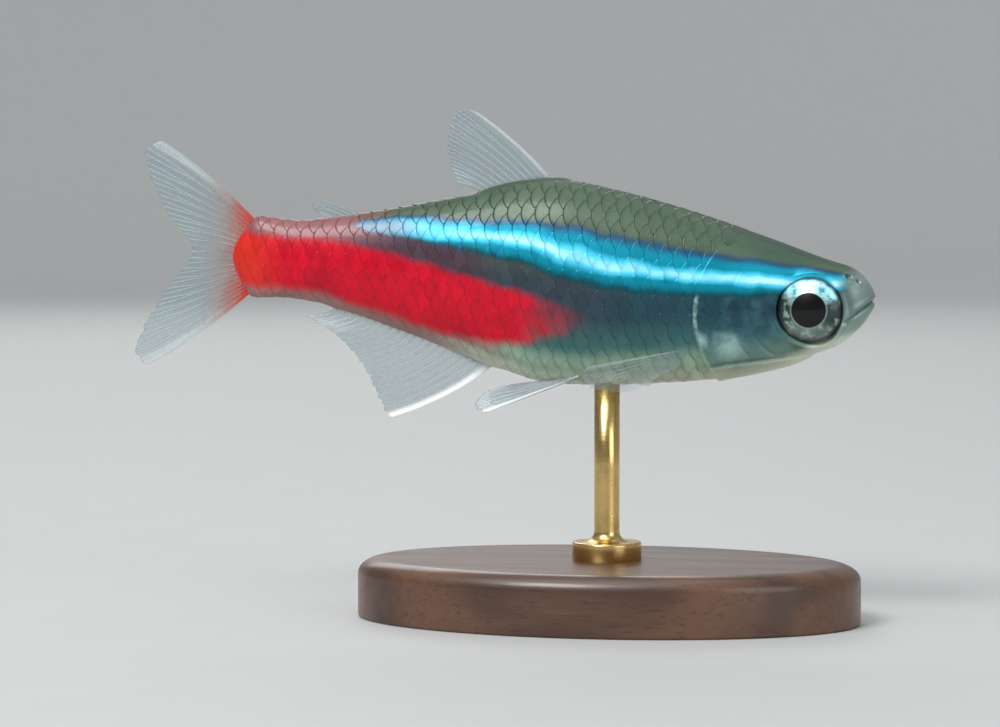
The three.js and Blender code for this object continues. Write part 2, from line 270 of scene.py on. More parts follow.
# Shader nodes


@dataclass
class NodeWriter:
    """Adds shader nodes to one tree with short calls."""

    tree: bpy.types.NodeTree

    def add(self, kind: str, **settings: object) -> bpy.types.Node:
        """Adds a node.

        Args:
            kind: Its type.
            settings: Its plain settings, by name.

        Returns:
            The node.
        """
        node = self.tree.nodes.new(kind)
        for key, value in settings.items():
            setattr(node, key, value)
        return node

    def feed(self, target: Socket, value: object) -> None:
        """Links an output to a socket, or sets the socket's own value.

        Args:
            target: The socket.
            value: An output, or a plain value.
        """
        if isinstance(value, bpy.types.NodeSocket):
            self.tree.links.new(value, target)
        else:
            target.default_value = value

    def math(self, operation: str, a: object, b: object = 0.0, c: object = 0.0) -> Socket:
        """A math node's result.

        Args:
            operation: What the node does.
            a: First plain value or output.
            b: Second plain value or output.
            c: Third plain value or output.

        Returns:
            The result.
        """
        node = self.add("ShaderNodeMath", operation=operation)
        for target, value in zip(node.inputs, (a, b, c)):
            self.feed(target, value)
        return node.outputs[0]

    def times(self, *values: object) -> Socket:
        """The product of two or more values.

        Args:
            values: Plain values or outputs.

        Returns:
            Their product.
        """
        product = values[0]
        for value in values[1:]:
            product = self.math("MULTIPLY", product, value)
        return product

    def step(self, value: object, low: object, high: object) -> Socket:
        """A soft step from 0 at low to 1 at high.

        Args:
            value: Where to read it.
            low: Where it starts.
            high: Where it ends.

        Returns:
            The step at value.
        """
        node = self.add("ShaderNodeMapRange", interpolation_type="SMOOTHSTEP")
        self.feed(node.inputs["Value"], value)
        self.feed(node.inputs["From Min"], low)
        self.feed(node.inputs["From Max"], high)
        return node.outputs["Result"]

    def off(self, value: object, low: object, high: object) -> Socket:
        """A soft step from 1 at low to 0 at high."""
        return self.math("SUBTRACT", 1.0, self.step(value, low, high))

    def mix(self, share: object, a: object, b: object, blend: str = "MIX") -> Socket:
        """Two colours mixed by a share.

        Args:
            share: How much of b there is.
            a: First colour or output.
            b: Second colour or output.
            blend: How they mix.

        Returns:
            The mixed colour.
        """
        node = self.add("ShaderNodeMix", data_type="RGBA", blend_type=blend)
        self.feed(node.inputs[0], share)
        for target, value in ((node.inputs[6], a), (node.inputs[7], b)):
            self.feed(target, (*value, 1.0) if isinstance(value, tuple) else value)
        return node.outputs[2]

    def curve(self, value: object, points: Points, top: float) -> Socket:
        """A free curve over 0 to 1 whose heights run from -top to top.

        Args:
            value: Where to read the curve.
            points: Place and height of each point.
            top: The largest height that the curve has to reach.

        Returns:
            The height at value.
        """
        node = self.add("ShaderNodeFloatCurve")
        line = node.mapping.curves[0]
        heights = [(place, 0.5 + 0.5 * height / top) for place, height in points]
        while len(line.points) < len(heights):
            line.points.new(0.5, 0.5)
        for point, (place, height) in zip(line.points, heights):
            point.location = (place, height)
        node.mapping.update()
        self.feed(node.inputs["Value"], value)
        return self.math("MULTIPLY_ADD", node.outputs[0], 2 * top, -top)

    def noise(self, scale: float, detail: float = 3.0, vector: object = None) -> Socket:
        """Soft noise from 0 to 1.

        Args:
            scale: Features to the metre.
            detail: How many finer layers it has.
            vector: Where to read it, or none for the point on the piece.

        Returns:
            The noise.
        """
        node = self.add("ShaderNodeTexNoise")
        node.inputs["Scale"].default_value = scale
        node.inputs["Detail"].default_value = detail
        self.feed(node.inputs["Vector"], self.place() if vector is None else vector)
        return node.outputs["Fac"]

    def cells(self, scale: float) -> Socket:
        """Distance from the middle of the nearest of scattered cells.

        Args:
            scale: Cells to the metre.

        Returns:
            The distance, where a cell is about 1 wide.
        """
        node = self.add("ShaderNodeTexVoronoi")
        node.inputs["Scale"].default_value = scale
        self.feed(node.inputs["Vector"], self.place())
        return node.outputs["Distance"]

    def place(self) -> Socket:
        """The point on the piece, in metres."""
        return self.add("ShaderNodeTexCoord").outputs["Object"]

    def painted(self, name: str) -> Socket:
        """The number stored on the piece's vertices under a name."""
        return self.add("ShaderNodeAttribute", attribute_name=name).outputs["Fac"]

    def bump(self, height: Socket, distance: float, strength: float = 1.0) -> Socket:
        """A normal raised by a height.

        Args:
            height: The height, from 0 to 1.
            distance: What 1 stands for, in metres.
            strength: How much of it shows.

        Returns:
            The normal.
        """
        node = self.add("ShaderNodeBump")
        node.inputs["Strength"].default_value = strength
        node.inputs["Distance"].default_value = distance
        self.feed(node.inputs["Height"], height)
        return node.outputs["Normal"]

    def group(self, tree: bpy.types.NodeTree, **values: object) -> bpy.types.Node:
        """Places a node group.

        Args:
            tree: The group's tree.
            values: What feeds its inputs, by name.

        Returns:
            The placed group.
        """
        node = self.add("ShaderNodeGroup", node_tree=tree)
        for name, value in values.items():
            self.feed(node.inputs[name], value)
        return node


class SocketKind(Enum):
    """What a group's input or output carries."""

    VALUE = "NodeSocketFloat"
    COLOUR = "NodeSocketColor"


@dataclass
class GroupTree:
    """A shader node group under way, with its inputs and outputs."""

    name: str
    inputs: dict[str, float]
    outputs: dict[str, SocketKind]

    def __post_init__(self) -> None:
        """Makes the tree and its sockets."""
        self.tree = bpy.data.node_groups.new(self.name, "ShaderNodeTree")
        for name, default in self.inputs.items():
            made = self.tree.interface.new_socket(
                name=name, in_out="INPUT", socket_type=SocketKind.VALUE.value
            )
            made.default_value = default
        for name, kind in self.outputs.items():
            self.tree.interface.new_socket(name=name, in_out="OUTPUT", socket_type=kind.value)
        self.write = NodeWriter(self.tree)
        self.given = self.write.add("NodeGroupInput")
        self.result = self.write.add("NodeGroupOutput")

    def put(self, **values: Socket) -> bpy.types.NodeTree:
        """Links the group's outputs.

        Args:
            values: What feeds them, by name.

        Returns:
            The group's tree.
        """
        for name, value in values.items():
            self.write.feed(self.result.inputs[name], value)
        return self.tree


def new_material(name: str) -> tuple[bpy.types.Material, NodeWriter, bpy.types.Node]:
    """A material with one Principled shader.

    Args:
        name: The material's name.

    Returns:
        The material, a writer for its nodes, and its shader.
    """
    material = bpy.data.materials.new(name)
    material.use_nodes = True
    return material, NodeWriter(material.node_tree), material.node_tree.nodes["Principled BSDF"]


# The form of the fish


@dataclass(frozen=True)
class Ball:
    """A disc in side view: its middle as shares of the body's length, and its radius as a share."""

    place: float
    height: float
    radius: float


@dataclass(frozen=True)
class FishForm:
    """The fish's measured form, in shares of its length, and where it hangs in the part."""

    length: float = 28 * MM
    nose_down: float = math.radians(4.4)
    rod_place: float = 0.4
    belly_clearance: float = 7.6 * MM
    snout_rounding: float = 0.05
    lift_height: float = 0.012
    lift_over: float = 0.12
    tail_round_from: float = 0.955
    tail_end: float = 1.012
    tail_bow: float = 0.034
    tail_taper: float = 0.16
    tail_edge: float = 0.1
    eye: Ball = Ball(0.091, -0.008, 0.0495)
    eye_side: float = 0.047
    eye_depth: float = 0.0215
    gill: Ball = Ball(0.1, -0.02, 0.166)
    stations: Points = (
        (0.0, 0.044, 0.044, 0.038, 2.3),
        (0.06, 0.062, 0.067, 0.05, 2.3),
        (0.12, 0.081, 0.098, 0.06, 2.3),
        (0.2, 0.103, 0.122, 0.068, 2.25),
        (0.32, 0.132, 0.141, 0.073, 2.2),
        (0.42, 0.15, 0.153, 0.072, 2.15),
        (0.49, 0.158, 0.156, 0.069, 2.1),
        (0.56, 0.148, 0.143, 0.062, 2.05),
        (0.63, 0.127, 0.121, 0.054, 2.0),
        (0.72, 0.103, 0.095, 0.044, 2.0),
        (0.84, 0.075, 0.067, 0.032, 2.0),
        (0.92, 0.062, 0.06, 0.025, 2.0),
        (1.0, 0.068, 0.068, 0.018, 2.0),
    )

    def column(self, index: int, place: np.ndarray) -> np.ndarray:
        """One column of the stations, eased along the body."""
        table = np.array(self.stations)
        return monotone(table[:, 0], table[:, index], place)

    def late(self, place: np.ndarray) -> np.ndarray:
        """How far each place lies along the rounded end of the tail stock, from 0 to 1."""
        return np.clip((place - self.tail_round_from) / (self.tail_end - self.tail_round_from), 0, 1)

    def section(self, place: np.ndarray) -> tuple[np.ndarray, ...]:
        """The body's section at each place.

        Args:
            place: Shares of the length back from the snout.

        Returns:
            Back, belly and half width in metres, and the fullness of the section.
        """
        short = 1 - np.minimum(1.0, place / self.snout_rounding)
        dome = np.sqrt(np.maximum(0.0, 1 - short * short))
        late = self.late(place)
        wedge = np.sqrt(np.maximum(0.0, 1 - late * late))
        tall = self.length * dome * (1 - self.tail_taper * late * late)
        back = self.column(1, place) * tall
        belly = self.column(2, place) * tall
        thin = self.tail_edge + (1 - self.tail_edge) * wedge
        half = self.column(3, place) * self.length * dome * thin
        return back, belly, half, self.column(4, place)

    def lift(self, place: np.ndarray) -> np.ndarray:
        """How far the middle of a section stands above the axis, in metres."""
        share = np.maximum(0.0, 1 - place / self.lift_over)
        return self.lift_height * self.length * share**2

    def surface(self, place: np.ndarray, angle: np.ndarray) -> np.ndarray:
        """Points of the bare body, before the fish is tipped and set on its rod.

        Args:
            place: Shares of the length back from the snout.
            angle: Turn round the axis from the back, through the left side, to the belly.

        Returns:
            Points in the fish's own axes, in metres.
        """
        back, belly, half, fullness = self.section(place)
        up = np.sign(np.cos(angle)) * np.abs(np.cos(angle)) ** (2 / fullness)
        out = np.sign(np.sin(angle)) * np.abs(np.sin(angle)) ** (2 / fullness)
        rise = np.where(up > 0, back, belly) * up + self.lift(place)
        bowed = place - self.tail_bow * self.late(place) ** 2 * up**2
        return np.stack([-bowed * self.length, out * half, rise], -1)

    def normals(self, place: np.ndarray, angle: np.ndarray) -> np.ndarray:
        """Outward unit normals of the bare body.

        Args:
            place: Shares of the length back from the snout.
            angle: Turn round the axis from the back.

        Returns:
            A normal for each place and angle.
        """
        step = 1e-3
        along = self.surface(place + step, angle) - self.surface(np.maximum(place - step, 1e-5), angle)
        around = self.surface(place, angle + step) - self.surface(place, angle - step)
        normal = np.cross(around, along)
        return normal / np.maximum(np.linalg.norm(normal, axis=-1, keepdims=True), 1e-15)

    def skin_side(self, place: float, height: float) -> float:
        """Half width of the bare body.

        Args:
            place: Share of the length back from the snout.
            height: Share of the length above the axis.

        Returns:
            The half width in metres.
        """
        back, belly, half, fullness = (float(v) for v in self.section(np.array(place)))
        up = height * self.length - float(self.lift(np.array(place)))
        rise = abs(up / (back if up > 0 else belly))
        return half * max(0.0, 1 - rise**fullness) ** (1 / fullness)

    def snout(self) -> Vector:
        """Finds the tip of the snout from the rod that carries the fish.

        Returns:
            The tip, in the part.
        """
        low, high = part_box("stand_rod")
        base_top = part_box("stand_base")[1].z
        belly = float(self.column(2, np.array(self.rod_place)))
        x, z = -self.rod_place * self.length, -belly * self.length
        cos, sin = math.cos(self.nose_down), math.sin(self.nose_down)
        return Vector(
            (
                (low.x + high.x) / 2 - (x * cos + z * sin),
                0.0,
                base_top + self.belly_clearance - (z * cos - x * sin),
            )
        )

    def to_part(self, points: np.ndarray) -> np.ndarray:
        """Tips points nose down and sets them in the part.

        Args:
            points: Points in the fish's own axes.

        Returns:
            The points in the part.
        """
        cos, sin = math.cos(self.nose_down), math.sin(self.nose_down)
        snout = self.snout()
        x, y, z = points[..., 0], points[..., 1], points[..., 2]
        return np.stack([snout.x + x * cos + z * sin, y, snout.z + z * cos - x * sin], -1)


@dataclass(frozen=True)
class HeadRelief:
    """What stands out from or sinks into the bare body: mouth, nostrils, eye rims and gill covers."""

    form: FishForm
    mouth_slope: float = math.radians(46)
    mouth_reach: float = 0.046
    lip: float = 0.04 * MM
    groove: float = 0.15 * MM
    plate_edge: float = 0.083
    plate_groove: float = 0.04 * MM
    second_edge: float = 0.108
    second_groove: float = 0.035 * MM
    throat_seam: float = 0.06 * MM
    cover_proud: float = 0.12 * MM
    cover_edge: float = 0.016 * MM
    cover_fade: float = 0.55 * MM
    rim_stand: float = 0.16 * MM
    rim_ridge: float = 0.03 * MM
    socket_depth: float = 0.95 * MM
    footing: float = 0.12 * MM
    footing_width: float = 0.28 * MM
    pit_rim: float = 0.035 * MM
    pit_depth: float = 0.17 * MM
    nostrils: tuple[Ball, ...] = (Ball(0.024, 0.04, 0.0036), Ball(0.038, 0.046, 0.0046))

    def depth(self, place: np.ndarray, points: np.ndarray) -> np.ndarray:
        """How far the skin stands off the bare body.

        Args:
            place: Shares of the length back from the snout.
            points: The bare body's points, in the fish's own axes.

        Returns:
            Metres outwards at each point.
        """
        height = points[..., 2] / self.form.length
        side = np.abs(points[..., 1])
        total = self.mouth(place, height) + self.cheek(place, height) + self.gill_cover(place, height)
        total += self.nostril_pits(points) + self.eye_rims(place, height, side)
        return total + self.fin_footings(place, points)

    def mouth(self, place: np.ndarray, height: np.ndarray) -> np.ndarray:
        """The closed mouth's line with a lip on each side, and the jaw bone behind its corner.

        Args:
            place: Shares of the length back from the snout.
            height: Heights above the axis, as shares of the length.

        Returns:
            Metres outwards at each point.
        """
        form = self.form
        curl, lip_middle, lip_width, groove_width = 6.0, 0.17 * MM, 0.1 * MM, 0.05 * MM
        bone, bone_width, bone_rise = Ball(self.mouth_reach + 0.008, -0.04, 0.6), 0.3 * MM, 0.05 * MM
        line = form.lift_height - math.tan(self.mouth_slope) * place + curl * place * place
        away = (height - line) * math.cos(self.mouth_slope) * form.length
        reach = smooth(self.mouth_reach, self.mouth_reach * 0.8, place)
        lips = bell(np.abs(away) - lip_middle, lip_width) * self.lip
        line_cut = bell(away, groove_width) * self.groove
        corner = np.hypot(place - bone.place, (height - bone.height) * bone.radius) * form.length
        return reach * (lips - line_cut) + bell(corner, bone_width) * bone_rise

    def cheek(self, place: np.ndarray, height: np.ndarray) -> np.ndarray:
        """Two grooves between the plates round the eye, and a seam along the throat.

        Args:
            place: Shares of the length back from the snout.
            height: Heights above the axis, as shares of the length.

        Returns:
            Metres outwards at each point.
        """
        form = self.form
        eye = form.eye
        reach = np.hypot(place - eye.place, height - eye.height)
        turn = np.arctan2(height - eye.height, place - eye.place)
        below = smooth(0.55, 0.1, turn) * smooth(-2.9, -2.4, turn)
        rim = bell((reach - self.plate_edge - 0.01 * np.cos(turn)) * form.length, 0.07 * MM)
        second = bell((reach - self.second_edge - 0.012 * np.cos(turn)) * form.length, 0.06 * MM)
        late = smooth(0.1, 0.13, place) * smooth(0.25, 0.2, place)
        throat = -0.07 - 0.2 * (place - 0.05)
        below = below * smooth(0.004, 0.014, height - throat)
        seam = bell((height - throat) * form.length, 0.07 * MM)
        seam = seam * smooth(0.055, 0.08, place) * smooth(0.25, 0.2, place)
        plates = self.plate_groove * rim + self.second_groove * second * late
        return -plates * below - self.throat_seam * seam

    def gill_cover(self, place: np.ndarray, height: np.ndarray) -> np.ndarray:
        """The free rear edge of the gill cover, standing over the shoulder behind it.

        Args:
            place: Shares of the length back from the snout.
            height: Heights above the axis, as shares of the length.

        Returns:
            Metres outwards at each point.
        """
        gill = self.form.gill
        away = np.hypot(place - gill.place, height - gill.height) - gill.radius
        away = away * self.form.length
        behind = smooth(0.14, 0.18, place)
        open_part = smooth(0.082, 0.05, height) * smooth(-0.165, -0.135, height) * behind
        edge = 1 / (1 + np.exp(np.clip(away / self.cover_edge, -40, 40)))
        return open_part * self.cover_proud * np.exp(np.minimum(0.0, away) / self.cover_fade) * edge

    def nostril_pits(self, points: np.ndarray) -> np.ndarray:
        """Two pits in front of each eye, each with a raised rim.

        Args:
            points: The bare body's points, in the fish's own axes.

        Returns:
            Metres outwards at each point.
        """
        total = np.zeros(points.shape[:-1])
        for pit in self.nostrils:
            side = self.form.skin_side(pit.place, pit.height)
            for hand in (1, -1):
                middle = np.array(
                    [-pit.place * self.form.length, hand * side, pit.height * self.form.length]
                )
                away = np.linalg.norm(points - middle, axis=-1)
                radius = pit.radius * self.form.length
                total += self.pit_rim * bell(away - radius * 1.45, 0.05 * MM)
                total -= self.pit_depth * bell(away, radius * 0.8)
        return total

    def eye_rims(self, place: np.ndarray, height: np.ndarray, side: np.ndarray) -> np.ndarray:
        """The sockets: the skin rises or falls to meet the edge of each eye, then turns in behind it.

        Args:
            place: Shares of the length back from the snout.
            height: Heights above the axis, as shares of the length.
            side: Distances out from the middle plane.

        Returns:
            Metres outwards at each point.
        """
        eye = self.form.eye
        share = np.hypot(place - eye.place, height - eye.height) / eye.radius
        meet = self.form.eye_side * self.form.length + self.rim_stand
        near = bell(np.maximum(0.0, share - 1.0), 0.2) * (share < 2)
        level = np.clip(meet - side, -0.2 * MM, 0.3 * MM) * near * smooth(0.3, 0.8, share)
        ridge = self.rim_ridge * bell(share - 1.1, 0.05)
        return level + ridge - self.socket_depth * smooth(1.01, 0.9, share)

    def fin_footings(self, place: np.ndarray, points: np.ndarray) -> np.ndarray:
        """The low fleshy ridges that the back and anal fins grow from.

        Args:
            place: Shares of the length back from the snout.
            points: The bare body's points, in the fish's own axes.

        Returns:
            Metres outwards at each point.
        """
        middle = bell(points[..., 1], self.footing_width)
        top = (points[..., 2] > 0) * smooth(0.47, 0.5, place) * smooth(0.64, 0.6, place)
        under = (points[..., 2] < 0) * smooth(0.555, 0.59, place) * smooth(0.87, 0.83, place)
        return self.footing * middle * (top + under)


@dataclass(frozen=True)
class Skin:
    """One skin over head, gill covers, torso and tail stock."""

    form: FishForm
    relief: HeadRelief
    sides: int = 240
    first_turn: float = 0.03
    dome_rings: int = 60
    stretches: tuple[tuple[float, int], ...] = ((0.15, 90), (0.29, 100), (0.95, 110))
    tail_rings: int = 34

    def rings(self) -> np.ndarray:
        """Spaces the rings, closest at the snout and over the head.

        Returns:
            The place of each ring.
        """
        start = self.form.snout_rounding
        quarter = np.linspace(self.first_turn, math.pi / 2, self.dome_rings)
        parts = [start * (1 - np.cos(quarter))]
        for end, count in (*self.stretches, (self.form.tail_end, self.tail_rings)):
            parts.append(np.linspace(start, end, count)[1:])
            start = end
        return np.concatenate(parts)

    def build(self, finish: bpy.types.Material) -> bpy.types.Object:
        """Lofts the skin, raises its relief and dresses it.

        Args:
            finish: The skin's material.

        Returns:
            The skin.
        """
        rings = self.rings()
        turn = np.linspace(0, 2 * math.pi, self.sides, endpoint=False)
        place, angle = np.meshgrid(rings, turn, indexing="ij")
        bare = self.form.surface(place, angle)
        raised = bare + self.form.normals(place, angle) * self.relief.depth(place, bare)[..., None]
        tip = np.array([[0.0, 0.0, float(self.form.lift(np.array(0.0)))]])
        end = raised[-1].mean(0, keepdims=True)
        vertices = np.vstack([raised.reshape(-1, 3), tip, end])
        faces = [tuple(reversed(face)) for face in tube_faces(len(rings), self.sides)]
        piece = new_piece("skin", self.form.to_part(vertices), faces)
        nodes = ["head", "torso", "tail_stock", "gill_cover_left", "gill_cover_right"]
        dress(piece, finish, "silver_skin", *nodes)
        return piece


@dataclass(frozen=True)
class ScaleSeat:
    """Where one scale sits.

    Start is the place where it begins to show, middle its row's distance up from the middle of the side,
    up and down its reach to each side of the row, and hand is 1 or -1.
    """

    start: float
    middle: float
    up: float
    down: float
    hand: int


@dataclass(frozen=True)
class Scales:
    """Thin overlapping scales in rows along both sides, with one row each along back and belly."""

    form: FishForm
    pitch: float = 0.62 * MM
    row_height: float = 0.78 * MM
    full_girth: float = 10.4 * MM
    root_reach: float = 0.75
    lift: float = 0.028 * MM
    crown: float = 0.014 * MM
    sunk: float = 0.014 * MM
    thickness: float = 0.018 * MM
    first: float = 0.17
    last: float = 0.985
    across: int = 8
    along: int = 7
    patch: float = 0.003
    seed: int = 11
    quarter: int = 80
    least_row: float = 0.62
    least_gap: float = 0.25
    room: float = 0.98
    middle_reach: float = 0.55
    back_gaps: Points = ((0.488, 0.62), (0.79, 0.845))
    belly_gaps: Points = ((0.0, 0.25), (0.555, 0.85))

    def girth(self, place: float) -> tuple[np.ndarray, np.ndarray]:
        """Distance round the body from the middle of the left side, up as positive, and the turn there.

        Args:
            place: Share of the length back from the snout.

        Returns:
            Rising distances in metres, from the right side under the belly and up over the back, and
            the angle at each.
        """
        angle = np.linspace(1.5 * math.pi, -0.5 * math.pi, 4 * self.quarter + 1)
        points = self.form.surface(np.full_like(angle, place), angle)
        steps = np.linalg.norm(np.diff(points, axis=0), axis=1)
        distance = np.concatenate([[0.0], np.cumsum(steps)])
        return distance - distance[2 * self.quarter], angle

    def ends(self, place: float) -> tuple[float, float]:
        """Distances round the body from the middle of the side to the belly's middle and the back's."""
        distance, _ = self.girth(place)
        return float(distance[self.quarter]), float(distance[3 * self.quarter])

    def behind_head(self, place: float, height: float) -> float:
        """How far a scale's start lies behind the gill opening and the nape.

        Args:
            place: Where the scale begins to show.
            height: Its height above the axis, as a share of the length.

        Returns:
            A share of the length, below 0 on the head.
        """
        gill = self.form.gill
        nape = place - 0.172 - 0.3 * max(0.0, height - 0.05)
        opening = math.hypot(place - gill.place, height - gill.height) - gill.radius + 0.014
        return min(nape, opening)

    def seat(self, start: float, middle: float, up: float, down: float, hand: int) -> list[ScaleSeat]:
        """One seat, or none where it would lie on the head.

        Args:
            start: Place where the scale begins to show.
            middle: Distance of its row up from the middle of the side.
            up: Reach towards the back.
            down: Reach towards the belly.
            hand: 1 for the left side, -1 for the right.

        Returns:
            A list with the seat, or an empty one.
        """
        distance, angle = self.girth(start)
        turn = float(np.interp(middle, distance, angle))
        height = float(self.form.surface(np.array(start), np.array(turn))[2]) / self.form.length
        if self.behind_head(start, height) < 0:
            return []
        return [ScaleSeat(start, middle, up, down, hand)]

    def side_seats(self, hand: int) -> list[ScaleSeat]:
        """Seats of one side, in rows that close up towards the tail.

        Args:
            hand: 1 for the left side, -1 for the right.

        Returns:
            The seats, from the head to the tail.
        """
        step = self.pitch / self.form.length
        seats = []
        for place in np.arange(self.first, self.last, step):
            below, above = self.ends(float(place))
            full = (above - below) / self.full_girth
            height = self.row_height * (self.least_row + (1 - self.least_row) * full)
            for row in range(math.ceil(below / height), math.floor(above / height) + 1):
                middle = row * height
                if min(middle - below, above - middle) < self.least_gap * height:
                    continue
                start = float(place) + (0.5 * step if row % 2 else 0.0)
                up = self.room * min(height, above - middle)
                down = self.room * min(height, middle - below)
                seats += self.seat(start, middle, up, down, hand)
        return seats

    def middle_seats(self) -> list[ScaleSeat]:
        """Seats of the rows along the back and the belly, clear of the fins' roots.

        Returns:
            The seats, from the head to the tail.
        """
        step = self.pitch / self.form.length
        seats = []
        for place in np.arange(self.first + 0.25 * step, self.last, step):
            start = float(place)
            below, above = self.ends(start)
            reach = self.middle_reach * self.row_height * (0.5 + above / self.full_girth)
            for middle, gaps in ((above, self.back_gaps), (below, self.belly_gaps)):
                if not any(low <= start <= high for low, high in gaps):
                    seats += self.seat(start, middle, reach, reach, 1)
        return seats

    def shares(self) -> tuple[np.ndarray, np.ndarray]:
        """Spaces the vertices of a scale.

        Returns:
            Shares across it, from -1 to 1, and along it, from its root to its free edge.
        """
        closer = 1 - (1 - np.linspace(0, 1, self.along + 1)) ** 1.4
        b, a = np.meshgrid(np.linspace(-1, 1, self.across + 1), closer, indexing="ij")
        return b, a

    def shape(self, seat: ScaleSeat) -> np.ndarray:
        """One scale as a front and a back grid.

        Args:
            seat: Where it sits.

        Returns:
            The vertices, front grid first, in the fish's own axes.
        """
        distance, angle = self.girth(seat.start)
        b, a = self.shares()
        reach = 1.0 - 0.5 * b**2 - 0.12 * b**4
        back = -self.root_reach + a * (reach + self.root_reach)
        taper = 1.0 - 0.12 * (1 - a) ** 2
        round_side = seat.middle + np.where(b > 0, seat.up, seat.down) * b * taper
        place = seat.start + back * self.pitch / self.form.length
        place = np.minimum(place, self.form.tail_end - 0.002)
        turn = np.interp(round_side, distance, angle)
        surface = self.form.surface(place, turn)
        normal = self.form.normals(place, turn)
        raised = self.lift * a**1.2 * (1 - 0.45 * b**4) + self.crown * (1 - b**2) * a - self.sunk
        front = surface + normal * raised[..., None]
        behind = surface + normal * (raised - self.thickness)[..., None]
        both = np.stack([front.reshape(-1, 3), behind.reshape(-1, 3)]).reshape(-1, 3)
        both[:, 1] *= seat.hand
        return both

    def map_roots(self, piece: bpy.types.Object, seats: list[ScaleSeat]) -> None:
        """Maps each scale to a small patch at its root's place on an unwrap of the skin.

        Args:
            piece: The joined scales.
            seats: Their seats, in order.
        """
        roots = []
        for seat in seats:
            distance, angle = self.girth(seat.start)
            turn = float(np.interp(seat.middle, distance, angle))
            roots.append((seat.start, 0.5 + 0.5 * seat.hand * turn / math.pi))
        b, a = self.shares()
        patch = np.tile(np.stack([a - 0.5, 0.5 * b], -1).reshape(-1, 2), (2, 1)) * self.patch
        middles = np.clip(np.array(roots), self.patch, 1 - self.patch)
        flat = (middles[:, None, :] + patch[None]).reshape(-1, 2)
        layer = piece.data.uv_layers.new(name="OFBake")
        loops = np.empty(len(piece.data.loops), np.int32)
        piece.data.loops.foreach_get("vertex_index", loops)
        layer.data.foreach_set("uv", flat[loops].ravel())

    def join(
        self, name: str, seats: list[ScaleSeat], finish: bpy.types.Material
    ) -> bpy.types.Object:
        """Joins scales into one piece and gives it its map and material.

        Args:
            name: The piece's name.
            seats: Where the scales sit, all on one hand.
            finish: The scales' material.

        Returns:
            The joined piece.
        """
        one = closed_sheet_faces(self.across + 1, self.along + 1)
        if seats[0].hand < 0:
            one = [tuple(reversed(quad)) for quad in one]
        b, a = self.shares()
        size = 2 * b.size
        faces = [tuple(v + k * size for v in quad) for k in range(len(seats)) for quad in one]
        corners = np.vstack([self.shape(seat) for seat in seats])
        piece = new_piece(name, self.form.to_part(corners), faces)
        rim = np.maximum(smooth(0.8, 1.0, a), smooth(0.8, 1.0, np.abs(b)) * smooth(0.4, 0.7, a))
        paint(piece, "free_edge", np.tile(rim.ravel(), 2 * len(seats)))
        tones = np.random.default_rng(self.seed).random(len(seats))
        paint(piece, "tone", np.repeat(tones, size))
        self.map_roots(piece, seats)
        dress(piece, finish, "silver_skin")
        LOG.info("%s: %d scales", name, len(seats))
        return piece

    def build(self, finish: bpy.types.Material) -> list[bpy.types.Object]:
        """Lays the scales of both sides and of the middle rows.

        Args:
            finish: The scales' material.

        Returns:
            The three joined pieces.
        """
        return [
            self.join("scales_left", self.side_seats(1), finish),
            self.join("scales_right", self.side_seats(-1), finish),
            self.join("scales_middle", self.middle_seats(), finish),
        ]


# Fins


